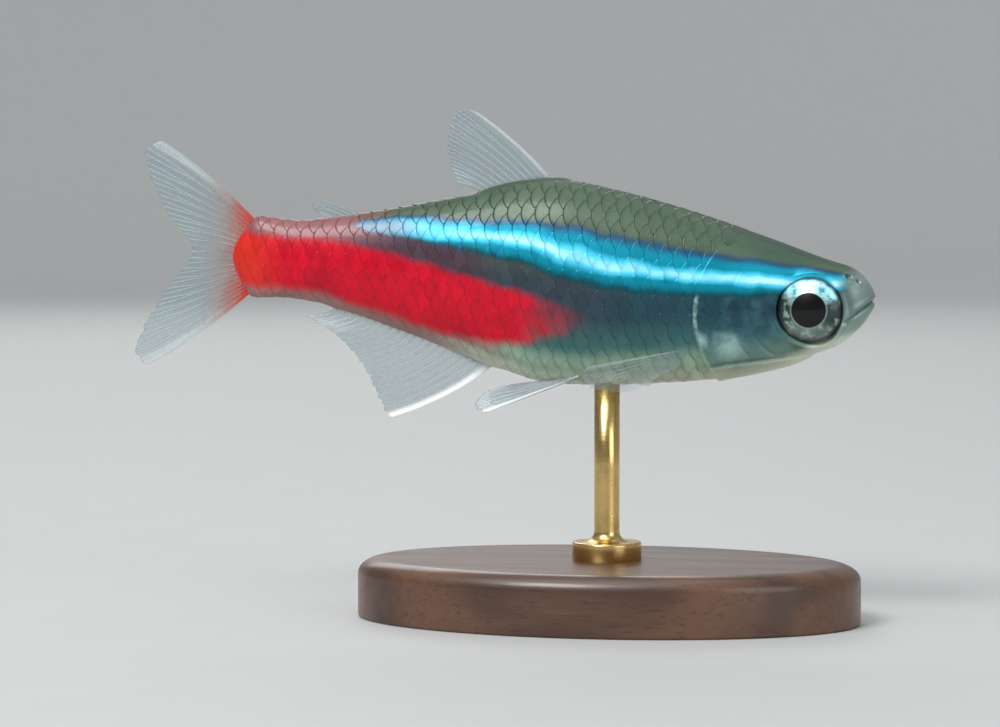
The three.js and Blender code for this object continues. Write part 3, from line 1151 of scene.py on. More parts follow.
@dataclass(frozen=True)
class FinSheet:
    """One fin: a thin membrane between branching rays, from a root curve to a margin curve.

    Curves are given as place, height and side, in shares of the body's length.
    """

    name: str
    nodes: tuple[str, ...]
    root: Points
    margin: Points
    rays: int
    bow: float = 0.0
    flare: float = 0.0
    ray: float = 0.06
    membrane: float = 0.03
    sway: float = 0.1
    leading: float = 0.0
    trailing: float = 0.0
    body: float = 1.0
    rows: int = 54
    per_ray: int = 12

    def grid(self, form: FishForm) -> tuple[np.ndarray, np.ndarray, np.ndarray]:
        """The middle surface of the fin.

        Args:
            form: The fish that carries it.

        Returns:
            Points of the grid, and the shares across the rays and along them.
        """
        columns = self.rays * self.per_ray + 1
        u = np.linspace(0, 1, columns)
        scale = np.array([-form.length, form.length, form.length])
        # The curves' place, height and side become the fish's own X, Y and Z
        order = [0, 2, 1]
        root = through(np.array(self.root)[:, order] * scale, u)
        margin = evenly(np.array(self.margin)[:, order] * scale, u)
        r = np.linspace(0, 1, self.rows)
        across, along = np.meshgrid(u, r, indexing="ij")
        between = np.abs(((across * self.rays) % 1.0) - 0.5) * 2
        scallop = 0.02 * between**2 + 0.007 * np.sin(across * 61.0)
        reach = along * (1 - scallop * along**6)
        points = root[:, None, :] * (1 - reach[..., None]) + margin[:, None, :] * reach[..., None]
        chord = root[-1] - root[0]
        chord /= np.linalg.norm(chord)
        shift = self.flare * (2 * across - 1) - self.bow
        points += chord * (shift * MM * 4 * along * (1 - along))[..., None]
        return points, across, along

    def ridges(self, across: np.ndarray, along: np.ndarray) -> np.ndarray:
        """Height of the rays: one ridge each at the root, forked in two towards the margin.

        Args:
            across: Share across the fin from its leading edge.
            along: Share along the ray.

        Returns:
            1 on the crest of a ray, 0 on the membrane between.
        """
        offset = (across * self.rays) % 1.0 - 0.5
        fork = 0.24 * smooth(0.42, 0.95, along)
        forked = np.maximum(bell(offset - fork, 0.085), bell(offset + fork, 0.085))
        share = smooth(0.38, 0.6, along)
        return np.maximum(bell(offset, 0.14) * (1 - share) + forked * share, self.edges(across))

    def edges(self, across: np.ndarray) -> np.ndarray:
        """How much each point belongs to the stout rays at the fin's edges.

        Args:
            across: Share across the fin from its leading edge.

        Returns:
            1 or less on an edge ray, 0 away from it.
        """
        first, last = 1.25 / self.rays, 0.45 / self.rays
        lead = smooth(first, last, across) * self.leading
        return np.maximum(lead, smooth(first, last, 1 - across) * self.trailing)

    def build(self, form: FishForm, finish: bpy.types.Material) -> bpy.types.Object:
        """Makes the fin as a closed sheet with its rays raised on both faces.

        Args:
            form: The fish that carries it.
            finish: The fin's material.

        Returns:
            The fin.
        """
        points, across, along = self.grid(form)
        along_ray = np.gradient(points, axis=1)
        along_edge = np.gradient(points, axis=0)
        normal = np.cross(along_ray, along_edge)
        normal /= np.maximum(np.linalg.norm(normal, axis=-1, keepdims=True), 1e-15)
        wave = np.sin(across * 5.2 + 0.6) + 0.35 * np.sin(across * 13.0 + 1.1)
        points = points + normal * (self.sway * MM * wave * along**2)[..., None]
        ridge = self.ridges(across, along)
        taper = 1 - 0.72 * along
        half = (self.membrane * (1 - 0.45 * along) + self.ray * ridge * taper) * MM / 2
        half *= 1 + 1.4 * smooth(0.16, 0.0, along)
        front = (points + normal * half[..., None]).reshape(-1, 3)
        back = (points - normal * half[..., None]).reshape(-1, 3)
        faces = closed_sheet_faces(*across.shape)
        piece = new_piece(self.name, form.to_part(np.vstack([front, back])), faces)
        edges = self.edges(across) * smooth(0.02, 0.3, along)
        body = np.full_like(along, self.body)
        for label, values in (("ray", ridge), ("along", along), ("edge_ray", edges), ("body", body)):
            paint(piece, label, np.tile(values.ravel(), 2))
        dress(piece, finish, "fin", *self.nodes)
        return piece


@dataclass(frozen=True)
class Fins:
    """All the fins of the fish."""

    form: FishForm

    def edge_of(self, start: float, end: float, edge: int, sunk: float) -> Points:
        """Points along the back or the belly, for a fin's root.

        Args:
            start: Place of the first point.
            end: Place of the last point.
            edge: 1 for the back, -1 for the belly.
            sunk: How far the points lie under the skin.

        Returns:
            The points.
        """
        places = np.linspace(start, end, 5)
        heights = self.form.column(1 if edge > 0 else 2, places) - sunk
        return tuple((float(p), float(edge * h), 0.0) for p, h in zip(places, heights))

    def on_side(self, points: Points, hand: int) -> Points:
        """Points given for the left side, set on the left (1) or the right (-1)."""
        return tuple((place, height, hand * side) for place, height, side in points)

    def middle_fins(self) -> list[FinSheet]:
        """Describes the back, adipose, anal and tail fins.

        Returns:
            The fins, not built yet.
        """
        tail_margin = (
            (1.142, 0.172, 0.0),
            (1.164, 0.156, 0.0),
            (1.158, 0.118, 0.0),
            (1.124, 0.056, 0.0),
            (1.08, 0.002, 0.0),
            (1.12, -0.062, 0.0),
            (1.154, -0.126, 0.0),
            (1.164, -0.17, 0.0),
            (1.142, -0.188, 0.0),
        )
        return [
            FinSheet(
                name="fin_back",
                nodes=("dorsal_fin",),
                root=self.edge_of(0.498, 0.612, 1, 0.014),
                margin=(
                    (0.636, 0.253, 0),
                    (0.663, 0.254, 0),
                    (0.677, 0.23, 0),
                    (0.678, 0.186, 0),
                    (0.662, 0.14, 0),
                ),
                rays=11,
                bow=0.25,
                leading=0.4,
            ),
            FinSheet(
                name="fin_adipose",
                nodes=("adipose_fin",),
                root=self.edge_of(0.795, 0.842, 1, 0.012),
                margin=((0.868, 0.096, 0), (0.886, 0.092, 0), (0.888, 0.083, 0), (0.872, 0.074, 0)),
                rays=5,
                bow=0.15,
                ray=0.02,
                membrane=0.12,
                sway=0.02,
                rows=24,
            ),
            FinSheet(
                name="fin_anal",
                nodes=("anal_fin",),
                root=self.edge_of(0.572, 0.838, -1, 0.012),
                margin=(
                    (0.742, -0.236, 0),
                    (0.76, -0.206, 0),
                    (0.788, -0.158, 0),
                    (0.832, -0.114, 0),
                    (0.886, -0.086, 0),
                ),
                rays=20,
                bow=0.4,
                leading=1.0,
                sway=0.12,
            ),
            FinSheet(
                name="fin_tail",
                nodes=("tail_fin_upper", "tail_fin_lower"),
                root=tuple((0.972, height, 0.0) for height in np.linspace(0.05, -0.05, 7)),
                margin=tail_margin,
                rays=20,
                flare=0.22,
                leading=0.32,
                trailing=0.32,
                sway=0.16,
                rows=64,
            ),
        ]

    def paired_fins(self, hand: int, word: str) -> list[FinSheet]:
        """Describes the pelvic and pectoral fins of one side.

        Args:
            hand: 1 for the left side, -1 for the right.
            word: The side's name.

        Returns:
            The fins, not built yet.
        """
        pelvic_root = ((0.436, -0.14, 0.034), (0.468, -0.148, 0.014))
        pelvic_margin = (
            (0.578, -0.208, 0.054),
            (0.596, -0.199, 0.047),
            (0.588, -0.182, 0.036),
            (0.556, -0.166, 0.022),
        )
        pectoral_root = ((0.262, -0.08, 0.05), (0.268, -0.1, 0.046))
        pectoral_margin = (
            (0.414, -0.118, 0.118),
            (0.42, -0.137, 0.115),
            (0.398, -0.153, 0.104),
            (0.35, -0.155, 0.084),
        )
        return [
            FinSheet(
                name=f"fin_pelvic_{word}",
                nodes=(f"pelvic_fin_{word}",),
                root=self.on_side(pelvic_root, hand),
                margin=self.on_side(pelvic_margin, hand),
                rays=8,
                leading=0.6,
                rows=40,
                sway=0.05,
                body=0.85,
            ),
            FinSheet(
                name=f"fin_pectoral_{word}",
                nodes=(f"pectoral_fin_{word}",),
                root=self.on_side(pectoral_root, hand),
                margin=self.on_side(pectoral_margin, hand),
                rays=11,
                leading=0.3,
                rows=40,
                sway=0.08,
                ray=0.04,
                membrane=0.02,
                body=0.5,
            ),
        ]

    def build(self, finish: bpy.types.Material) -> list[bpy.types.Object]:
        """Makes every fin.

        Args:
            finish: The fins' material.

        Returns:
            The fins.
        """
        sheets = self.middle_fins()
        for hand, word in ((1, "left"), (-1, "right")):
            sheets += self.paired_fins(hand, word)
        return [sheet.build(self.form, finish) for sheet in sheets]


# Eyes


@dataclass(frozen=True)
class Eye:
    """A flattened ball that swells a little over the pupil."""

    form: FishForm
    hand: int
    pupil: float = PUPIL_SHARE
    swell: float = 0.05 * MM
    segments: int = 128
    rings: int = 60

    def build(self, finish: bpy.types.Material) -> bpy.types.Object:
        """Turns the ball's outline about its axis and dresses it.

        Args:
            finish: The eye's material.

        Returns:
            The eye.
        """
        form = self.form
        tilt = np.linspace(0, math.pi, self.rings + 1)[1:-1]
        turn = np.linspace(0, 2 * math.pi, self.segments, endpoint=False)
        polar, around = np.meshgrid(tilt, turn, indexing="ij")
        radius = form.eye.radius * form.length
        across = np.sin(polar) * radius
        swell = self.swell * bell(np.sin(polar), self.pupil * 0.9) * (np.cos(polar) > 0)
        out = np.cos(polar) * form.eye_depth * form.length + swell
        rows = np.stack([across * np.cos(around), out * self.hand, across * np.sin(around)], -1)
        tips = [form.eye_depth * form.length + self.swell, -form.eye_depth * form.length]
        ends = np.array([[0.0, tip * self.hand, 0.0] for tip in tips])
        middle = np.array([-form.eye.place, self.hand * form.eye_side, form.eye.height]) * form.length
        vertices = np.vstack([rows.reshape(-1, 3), ends]) + middle
        faces = tube_faces(len(tilt), self.segments)
        if self.hand > 0:
            faces = [tuple(reversed(face)) for face in faces]
        word = "left" if self.hand > 0 else "right"
        piece = new_piece(f"eyeball_{word}", form.to_part(vertices), faces)
        labels = {
            "from_middle": np.sin(polar),
            "eye_up": np.sin(around),
            "eye_level": np.sin(polar) * np.sin(around),
        }
        for label, values in labels.items():
            paint(piece, label, np.append(values.ravel(), [0.0, 0.0]))
        dress(piece, finish, "eye", f"eye_{word}")
        return piece


# Stand


@dataclass(frozen=True)
class Stand:
    """The oval wooden base and the turned brass rod."""

    sides: int = 192
    edge: float = 0.7 * MM
    foot_edge: float = 0.12 * MM

    def turned(
        self, name: str, profile: np.ndarray, stretch: float, middle: Vector
    ) -> bpy.types.Object:
        """Turns a profile about a standing axis.

        Args:
            name: The piece's name.
            profile: Radius and height of each point, from the bottom middle to the top middle.
            stretch: How much wider the turned form is along X.
            middle: Where the axis stands, and the height that the profile starts from.

        Returns:
            The turned piece.
        """
        turn = np.linspace(0, 2 * math.pi, self.sides, endpoint=False)
        radius, around = np.meshgrid(profile[1:-1, 0], turn, indexing="ij")
        height = np.repeat(profile[1:-1, 1][:, None], self.sides, 1)
        rows = np.stack([radius * np.cos(around) * stretch, radius * np.sin(around), height], -1)
        ends = np.array([[0, 0, profile[0, 1]], [0, 0, profile[-1, 1]]])
        vertices = np.vstack([rows.reshape(-1, 3), ends]) + np.array(middle)
        return new_piece(name, vertices, tube_faces(len(profile) - 2, self.sides))

    def arc(self, x: float, z: float, size: float, turn: tuple[float, float]) -> list[tuple]:
        """Points of an arc about x and z between two angles in degrees."""
        angles = np.radians(np.linspace(*turn, 10))
        return [(x + size * math.cos(a), z + size * math.sin(a)) for a in angles]

    def base(self, finish: bpy.types.Material) -> bpy.types.Object:
        """The oval base, with a rounded upper edge and a small round under it.

        Args:
            finish: The base's material.

        Returns:
            The base.
        """
        low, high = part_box("stand_base")
        half = (high - low) / 2
        radius, top = half.y, high.z - low.z
        profile = [(0.0, 0.0), (radius - 1.2 * MM, 0.0)]
        profile += self.arc(radius - self.foot_edge, self.foot_edge, self.foot_edge, (-90, 0))
        profile += self.arc(radius - self.edge, top - self.edge, self.edge, (0, 90))
        profile += [(radius - self.edge - 0.02 * MM, top), (radius * 0.5, top), (0.0, top)]
        middle = Vector(((low.x + high.x) / 2, 0.0, low.z))
        piece = self.turned("oval_base", np.array(profile), half.x / half.y, middle)
        dress(piece, finish, "wood", "stand_base")
        return piece

    def rod(self, finish: bpy.types.Material) -> bpy.types.Object:
        """The rod: a foot with a coved shoulder, and a plain shaft that enters the belly.

        Args:
            finish: The rod's material.

        Returns:
            The rod.
        """
        low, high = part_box("stand_rod")
        base_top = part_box("stand_base")[1].z
        foot, shaft, rim, cove = 1.5 * MM, 0.55 * MM, 0.1 * MM, 0.45 * MM
        foot_height, sunk, entry = 0.5 * MM, 0.05 * MM, 0.6 * MM
        low_top = foot_height + low.z - base_top
        profile = [(0.0, -sunk), (foot - sunk, -sunk), (foot, 0.0)]
        profile += self.arc(foot - rim, low_top - rim, rim, (0, 90))
        profile += [(shaft + cove + 0.1 * MM, low_top)]
        profile += self.arc(shaft + cove, low_top + cove, cove, (-90, -180))
        inside = high.z - base_top + entry
        profile += [(shaft, inside * 0.5), (shaft, inside), (0.0, inside)]
        middle = Vector(((low.x + high.x) / 2, 0.0, base_top))
        piece = self.turned("brass_rod", np.array(profile), 1.0, middle)
        dress(piece, finish, "brass", "stand_rod")
        return piece


# Colours and finishes


@dataclass(frozen=True)
class Markings:
    """The fish's colours as one node group, read by skin and scales alike."""

    form: FishForm
    back: Colour = (0.06, 0.105, 0.06)
    crown: Colour = (0.038, 0.074, 0.062)
    ridge: Colour = (0.018, 0.028, 0.018)
    flank: Colour = (0.012, 0.05, 0.07)
    dusk: Colour = (0.06, 0.034, 0.052)
    low_flank: Colour = (0.045, 0.15, 0.14)
    belly: Colour = (0.34, 0.49, 0.36)
    keel: Colour = (0.68, 0.76, 0.6)
    rosy: Colour = (0.27, 0.1, 0.105)
    cheek: Colour = (0.01, 0.05, 0.075)
    silver: Colour = (0.06, 0.16, 0.2)
    glint: Colour = (0.52, 0.8, 0.74)
    dark_navy: Colour = (0.004, 0.018, 0.04)
    snout_tip: Colour = (0.3, 0.36, 0.35)
    red: Colour = (0.56, 0.0, 0.016)
    deep_red: Colour = (0.3, 0.0, 0.014)
    tail_red: Colour = (0.6, 0.028, 0.01)
    border_above: Colour = (0.006, 0.045, 0.12)
    border_below: Colour = (0.0, 0.065, 0.085)
    teal: Colour = (0.0, 0.26, 0.38)
    core: Colour = (0.07, 0.6, 0.86)
    stripe_tail: Colour = (0.1, 0.15, 0.22)
    # White-cyan of the painted highlight along the stripe.
    stripe_highlight: Colour = (0.68, 1.0, 1.0)
    red_glow: Colour = (1.0, 0.0, 0.02)
    speck: Colour = (0.01, 0.012, 0.008)
    glints: tuple[Ball, ...] = (
        Ball(0.207, -0.077, 0.026),
        Ball(0.252, -0.068, 0.012),
    )
    dark_patches: tuple[Ball, ...] = (
        Ball(0.153, -0.018, 0.016),
        Ball(0.132, -0.062, 0.014),
        Ball(0.206, -0.014, 0.012),
    )
    stripe_line: Points = (
        (0.0, 0.038), (0.066, 0.036), (0.132, 0.034), (0.2, 0.033), (0.265, 0.033),
        (0.33, 0.034), (0.4, 0.04), (0.463, 0.048), (0.53, 0.058), (0.6, 0.062),
        (0.66, 0.063), (0.73, 0.067), (0.81, 0.064), (1.0, 0.062),
    )
    stripe_half: Points = (
        (0.0, 0.008), (0.066, 0.018), (0.132, 0.026), (0.2, 0.03), (0.265, 0.036),
        (0.33, 0.04), (0.463, 0.043), (0.53, 0.036), (0.6, 0.028), (0.66, 0.023),
        (0.73, 0.018), (0.77, 0.012), (0.81, 0.004), (0.83, 0.0), (1.0, 0.0),
    )
    core_line: Points = (
        (0.0, 0.036), (0.066, 0.034), (0.132, 0.03), (0.2, 0.031), (0.265, 0.03),
        (0.33, 0.032), (0.4, 0.036), (0.463, 0.046), (0.53, 0.061), (0.6, 0.062),
        (0.66, 0.061), (0.73, 0.064), (0.81, 0.063), (1.0, 0.063),
    )
    core_half: Points = (
        (0.0, 0.004), (0.066, 0.006), (0.2, 0.0058), (0.33, 0.0064), (0.4, 0.0077),
        (0.463, 0.01), (0.53, 0.0075), (0.66, 0.0065), (0.73, 0.0075), (0.77, 0.006),
        (0.81, 0.003), (0.83, 0.0), (1.0, 0.0),
    )
    red_top: Points = (
        (0.0, -0.1), (0.42, -0.05), (0.463, -0.034), (0.53, -0.019), (0.6, -0.004),
        (0.66, 0.009), (0.73, 0.021), (0.78, 0.027), (0.83, 0.036), (0.93, 0.036),
        (1.0, 0.042),
    )
    red_under: Points = (
        (0.0, -0.1), (0.42, -0.07), (0.463, -0.08), (0.53, -0.1), (0.57, -0.104),
        (0.61, -0.103), (0.66, -0.096), (0.73, -0.081), (0.79, -0.067), (0.86, -0.053),
        (0.93, -0.049), (1.0, -0.052),
    )

    def place_group(self) -> bpy.types.NodeTree:
        """Builds a group that gives place, height and side on the fish, in shares of its length.

        Returns:
            The group's tree.
        """
        value = SocketKind.VALUE
        group = GroupTree("place_on_fish", {}, {"Place": value, "Height": value, "Side": value})
        write = group.write
        split = write.add("ShaderNodeSeparateXYZ")
        write.feed(split.inputs[0], write.place())
        snout = self.form.snout()
        x = write.math("SUBTRACT", split.outputs["X"], snout.x)
        z = write.math("SUBTRACT", split.outputs["Z"], snout.z)
        cos, sin = math.cos(self.form.nose_down), math.sin(self.form.nose_down)
        size = self.form.length
        along = write.math("SUBTRACT", write.times(x, cos / size), write.times(z, sin / size))
        height = write.math("ADD", write.times(x, sin / size), write.times(z, cos / size))
        side = write.times(write.math("ABSOLUTE", split.outputs["Y"]), 1 / size)
        return group.put(Place=write.times(along, -1.0), Height=height, Side=side)

    def build(self, place_group: bpy.types.NodeTree) -> bpy.types.NodeTree:
        """Builds the group of the markings: colour, metallic share, roughness, glow and bump height.

        Args:
            place_group: The group that gives place, height and side on the fish.

        Returns:
            The group's tree, with inputs for nearness to a scale's free edge and for its lightness.
        """
        value, colour = SocketKind.VALUE, SocketKind.COLOUR
        group = GroupTree(
            "fish_markings",
            {"Edge": 0.0, "Tone": 0.5},
            {"Color": colour, "Metallic": value, "Roughness": value, "Glow": colour, "Height": value},
        )
        write = group.write
        where = write.group(place_group)
        place, height, side = (where.outputs[name] for name in ("Place", "Height", "Side"))
        edge, tone = (group.given.outputs[name] for name in ("Edge", "Tone"))
        uneven = write.math("SUBTRACT", write.noise(900.0, 4.0), 0.5)
        level = write.math("MULTIPLY_ADD", uneven, 0.014, height)
        level = write.math("MULTIPLY_ADD", write.math("SUBTRACT", tone, 0.5), 0.003, level)
        head = self.head_mask(write, place, height)

        colour_now = self.ground(write, place, level, side)
        colour_now = self.head_tones(write, colour_now, place, height, head)
        colour_now = self.underside(write, colour_now, place, level, side, head)
        above = write.times(edge, write.step(height, 0.04, 0.1), write.step(place, 0.18, 0.27), 0.55)
        colour_now = write.mix(above, colour_now, self.ridge)
        low = write.times(edge, write.off(height, -0.02, 0.03), 0.25)
        colour_now = write.mix(low, colour_now, self.cheek)
        colour_now, red = self.red_part(write, colour_now, place, level, edge)
        colour_now, band, core = self.stripe_part(write, colour_now, place, level, edge)
        colour_now, specks = self.specks(write, colour_now, height, band)
        spread = write.math("MULTIPLY_ADD", band, -0.16, 0.22)
        shade = write.math("MULTIPLY_ADD", write.math("SUBTRACT", tone, 0.5), spread, 1.0)
        colour_now = write.mix(1.0, colour_now, self.grey(write, shade), "MULTIPLY")

        belly = write.times(write.off(level, -0.11, -0.04), write.off(red, 0.0, 0.6))
        front = write.math("MULTIPLY_ADD", write.step(place, 0.5, 0.7), -0.25, 0.4)
        shine = write.math("MAXIMUM", write.times(band, front), write.times(belly, 0.2))
        shine = write.math("MAXIMUM", shine, write.times(head, 0.35))
        metallic = write.math("MAXIMUM", shine, 0.06)
        uneven_gloss = write.math("MULTIPLY_ADD", write.noise(5200.0), 0.2, 0.24)
        roughness = write.math("MULTIPLY_ADD", tone, 0.08, uneven_gloss)
        lit = write.times(core, write.math("MULTIPLY_ADD", write.step(place, 0.5, 0.74), -0.8, 1.0))
        glow = write.mix(lit, BLACK, self.core)
        glow = write.mix(write.times(red, 0.12), glow, self.red_glow)
        bumps = write.math("ADD", write.times(write.noise(11000.0), 0.6), write.times(specks, 0.4))
        return group.put(
            Color=colour_now, Metallic=metallic, Roughness=roughness, Glow=glow, Height=bumps
        )

    def grey(self, write: NodeWriter, value: Socket) -> Socket:
        """A grey of a given lightness.

        Args:
            write: The group's writer.
            value: The lightness.

        Returns:
            The grey.
        """
        node = write.add("ShaderNodeCombineColor")
        for target in node.inputs:
            write.feed(target, value)
        return node.outputs[0]

    def away_from(self, write: NodeWriter, place: Socket, height: Socket, ball: Ball) -> Socket:
        """Distance from the middle of a disc in side view.

        Args:
            write: The group's writer.
            place: Share of the length back from the snout.
            height: Share above the axis.
            ball: The disc.

        Returns:
            The distance, as a share of the length.
        """
        across = write.math("SUBTRACT", place, ball.place)
        up = write.math("SUBTRACT", height, ball.height)
        squares = write.math("ADD", write.times(across, across), write.times(up, up))
        return write.math("SQRT", squares)

    def patch(self, write: NodeWriter, place: Socket, height: Socket, ball: Ball) -> Socket:
        """A soft patch with an uneven edge.

        Args:
            write: The group's writer.
            place: Share of the length back from the snout.
            height: Share above the axis.
            ball: The disc that the patch fills.

        Returns:
            The patch's mask.
        """
        share = write.times(self.away_from(write, place, height, ball), 1 / ball.radius)
        ragged = write.math("MULTIPLY_ADD", write.noise(1700.0, 3.0), 1.4, -0.7)
        return write.off(write.math("ADD", share, ragged), 0.0, 1.4)

    def head_mask(self, write: NodeWriter, place: Socket, height: Socket) -> Socket:
        """The head's mask.

        Args:
            write: The group's writer.
            place: Share of the length back from the snout.
            height: Share above the axis.

        Returns:
            1 over head and gill covers, 0 on the scaled body.
        """
        gill = self.form.gill
        cover = write.off(
            self.away_from(write, place, height, gill), gill.radius - 0.008, gill.radius
        )
        rise = write.math("MAXIMUM", write.math("SUBTRACT", height, 0.05), 0.0)
        nape = write.off(write.math("MULTIPLY_ADD", rise, -0.3, place), 0.165, 0.185)
        return write.math("MAXIMUM", cover, nape)

    def ground(self, write: NodeWriter, place: Socket, level: Socket, side: Socket) -> Socket:
        """An olive back, a dark flank, and the dusky band and rosy top of the tail stock.

        Args:
            write: The group's writer.
            place: Share of the length back from the snout.
            level: Height, made a little uneven.
            side: Share out from the middle plane.

        Returns:
            The ground colour.
        """
        colour_now = write.mix(write.off(level, -0.02, 0.06), self.back, self.flank)
        rear = write.step(place, 0.5, 0.66)
        rear = write.math("MAXIMUM", rear, write.times(write.step(place, 0.34, 0.46), 0.35))
        between = write.times(rear, write.off(level, 0.055, 0.085))
        colour_now = write.mix(between, colour_now, self.dusk)
        top = write.times(write.off(side, 0.004, 0.026), write.step(level, 0.03, 0.09))
        colour_now = write.mix(write.times(top, 0.6), colour_now, self.ridge)
        tail = write.times(write.step(place, 0.72, 0.86), write.step(level, 0.02, 0.05))
        return write.mix(write.times(tail, 0.85), colour_now, self.rosy)

    def underside(
        self,
        write: NodeWriter,
        base: Socket,
        place: Socket,
        level: Socket,
        side: Socket,
        head: Socket,
    ) -> Socket:
        """A mint belly above a pale line that follows the lower outline from the chin to the tail.

        Args:
            write: The group's writer.
            base: The colour so far.
            place: Share of the length back from the snout.
            level: Height, made a little uneven.
            side: Share out from the middle plane.
            head: The head's mask.

        Returns:
            The colour with the underside.
        """
        outline = tuple((row[0], -row[2]) for row in self.form.stations)
        over = write.math("SUBTRACT", level, write.curve(place, outline, 0.2))
        on_head = write.math("MULTIPLY_ADD", head, -0.65, 1.0)
        low = write.times(write.off(over, 0.05, 0.11), on_head)
        colour_now = write.mix(low, base, self.low_flank)
        mint = write.times(write.off(over, 0.026, 0.064), on_head)
        colour_now = write.mix(mint, colour_now, self.belly)
        rosy = write.times(write.step(place, 0.5, 0.66), write.off(over, 0.018, 0.05))
        colour_now = write.mix(rosy, colour_now, self.rosy)
        keel = write.math("MAXIMUM", write.off(over, 0.008, 0.026), write.off(side, 0.006, 0.02))
        pale = write.math("MULTIPLY_ADD", write.step(place, 0.56, 0.72), -0.75, 0.88)
        keel = write.times(keel, write.off(level, -0.05, -0.02), pale)
        return write.mix(keel, colour_now, self.keel)

    def head_tones(
        self, write: NodeWriter, base: Socket, place: Socket, height: Socket, head: Socket
    ) -> Socket:
        """A dark crown, a pale snout tip, and a cheek of blue-grey plates with dark and light patches.

        Args:
            write: The group's writer.
            base: The colour so far.
            place: Share of the length back from the snout.
            height: Share above the axis.
            head: The head's mask.

        Returns:
            The colour with the head's tones.
        """
        crown = write.times(write.off(place, 0.1, 0.3), write.step(height, 0.05, 0.08), 0.75)
        colour_now = write.mix(crown, base, self.crown)
        cloudy = write.step(write.noise(1300.0, 3.0), 0.38, 0.64)
        grainy = write.step(write.noise(5200.0, 4.0), 0.38, 0.62)
        blotches = write.math("MULTIPLY_ADD", grainy, 0.16, write.times(cloudy, 0.84))
        paler = write.times(write.off(height, -0.09, -0.03), 0.5)
        blotches = write.math("MULTIPLY_ADD", blotches, 0.6, paler)
        plates = write.mix(blotches, self.cheek, self.silver)
        cheek = write.times(head, write.off(height, 0.0, 0.03), write.step(place, 0.08, 0.13))
        colour_now = write.mix(write.times(cheek, 0.9), colour_now, plates)
        snout = write.off(write.math("MULTIPLY_ADD", height, 0.25, place), 0.025, 0.065)
        colour_now = write.mix(write.times(snout, 0.8), colour_now, self.snout_tip)
        # Dark navy patches on the cheek, below and behind the eye.
        for ball in self.dark_patches:
            mask = write.times(self.patch(write, place, height, ball), head, 0.75)
            colour_now = write.mix(mask, colour_now, self.dark_navy)
        for ball in self.glints:
            mask = write.times(self.patch(write, place, height, ball), head, 0.85)
            colour_now = write.mix(mask, colour_now, self.glint)
        dots = write.off(write.cells(7000.0), 0.14, 0.3)
        dots = write.times(dots, cheek, write.step(write.noise(1900.0), 0.45, 0.6), 0.5)
        colour_now = write.mix(dots, colour_now, self.dark_navy)
        away = self.away_from(write, place, height, self.form.gill)
        edge = self.form.gill.radius
        rim = write.times(write.step(away, edge - 0.009, edge - 0.005), write.off(away, edge - 0.003, edge))
        rim = write.times(rim, write.off(height, 0.0, 0.03), write.step(place, 0.16, 0.2))
        rim = write.times(rim, write.math("MULTIPLY_ADD", grainy, 0.3, 0.15))
        return write.mix(rim, colour_now, self.glint)

    def red_part(
        self, write: NodeWriter, base: Socket, place: Socket, level: Socket, edge: Socket
    ) -> tuple[Socket, Socket]:
        """The red of the rear half, which starts as a wash under the back fin.

        Args:
            write: The group's writer.
            base: The colour so far.
            place: Share of the length back from the snout.
            level: Height, made a little uneven.
            edge: Nearness to a scale's free edge.

        Returns:
            The colour with the red, and the red's mask.
        """
        over = write.math("SUBTRACT", write.curve(place, self.red_top, 0.1), level)
        under = write.math("SUBTRACT", level, write.curve(place, self.red_under, 0.1))
        mask = write.times(write.step(over, -0.008, 0.01), write.step(under, -0.008, 0.014))
        start = write.math("MULTIPLY_ADD", write.noise(1300.0, 4.0), 0.09, place)
        mask = write.times(mask, write.step(start, 0.46, 0.6))
        cloudy = write.step(write.noise(1100.0, 4.0), 0.42, 0.66)
        depth = write.math("MAXIMUM", write.times(edge, 0.6), cloudy)
        tone = write.mix(write.times(depth, 0.45), self.red, self.deep_red)
        tone = write.mix(write.times(write.step(place, 0.91, 0.99), 0.8), tone, self.tail_red)
        return write.mix(mask, base, tone), mask

    def stripe_part(
        self, write: NodeWriter, base: Socket, place: Socket, level: Socket, edge: Socket
    ) -> tuple[Socket, Socket, Socket]:
        """The shining stripe from over the eye to the adipose fin, with a painted highlight along its
        middle.

        Args:
            write: The group's writer.
            base: The colour so far.
            place: Share of the length back from the snout.
            level: Height, made a little uneven.
            edge: Nearness to a scale's free edge.

        Returns:
            The colour with the stripe, the stripe's mask and the mask of its bright core.
        """
        away = write.math("SUBTRACT", level, write.curve(place, self.stripe_line, 0.1))
        half = write.curve(place, self.stripe_half, 0.1)
        share = self.share_of(write, away, half)
        present = write.times(write.step(half, 0.002, 0.006), write.step(place, 0.03, 0.06))
        band = write.times(write.off(share, 0.78, 1.15), present)
        from_core = write.math("SUBTRACT", level, write.curve(place, self.core_line, 0.1))
        inner = self.share_of(write, from_core, write.curve(place, self.core_half, 0.1))
        whole = write.math("SUBTRACT", 1.0, write.times(edge, 0.22))
        core = write.times(write.off(inner, 0.8, 2.3), present, whole)
        # Painted highlight: a white-cyan line along the stripe's middle, in patches, whole over the head
        # and fading towards the tail.
        patches = write.math("MULTIPLY_ADD", write.step(write.noise(230.0, 2.0), 0.42, 0.58), 0.6, 0.4)
        patches = write.math("MAXIMUM", patches, write.off(place, 0.16, 0.24))
        strong = write.math("MULTIPLY_ADD", write.step(place, 0.5, 0.72), -0.8, 0.85)
        highlight_share = write.times(write.off(inner, 0.25, 1.15), patches, whole, strong)
        bright = write.mix(write.step(place, 0.66, 0.76), self.core, self.stripe_tail)
        bright = write.mix(highlight_share, bright, self.stripe_highlight)
        border = write.mix(write.step(away, -0.006, 0.006), self.border_below, self.border_above)
        border = write.mix(write.off(share, 0.5, 0.95), border, self.teal)
        return write.mix(band, base, write.mix(core, border, bright)), band, core

    def share_of(self, write: NodeWriter, away: Socket, half: Socket) -> Socket:
        """How far out of a band of some half width a point lies, as a share of that width."""
        return write.math("DIVIDE", write.math("ABSOLUTE", away), write.math("MAXIMUM", half, 0.0005))

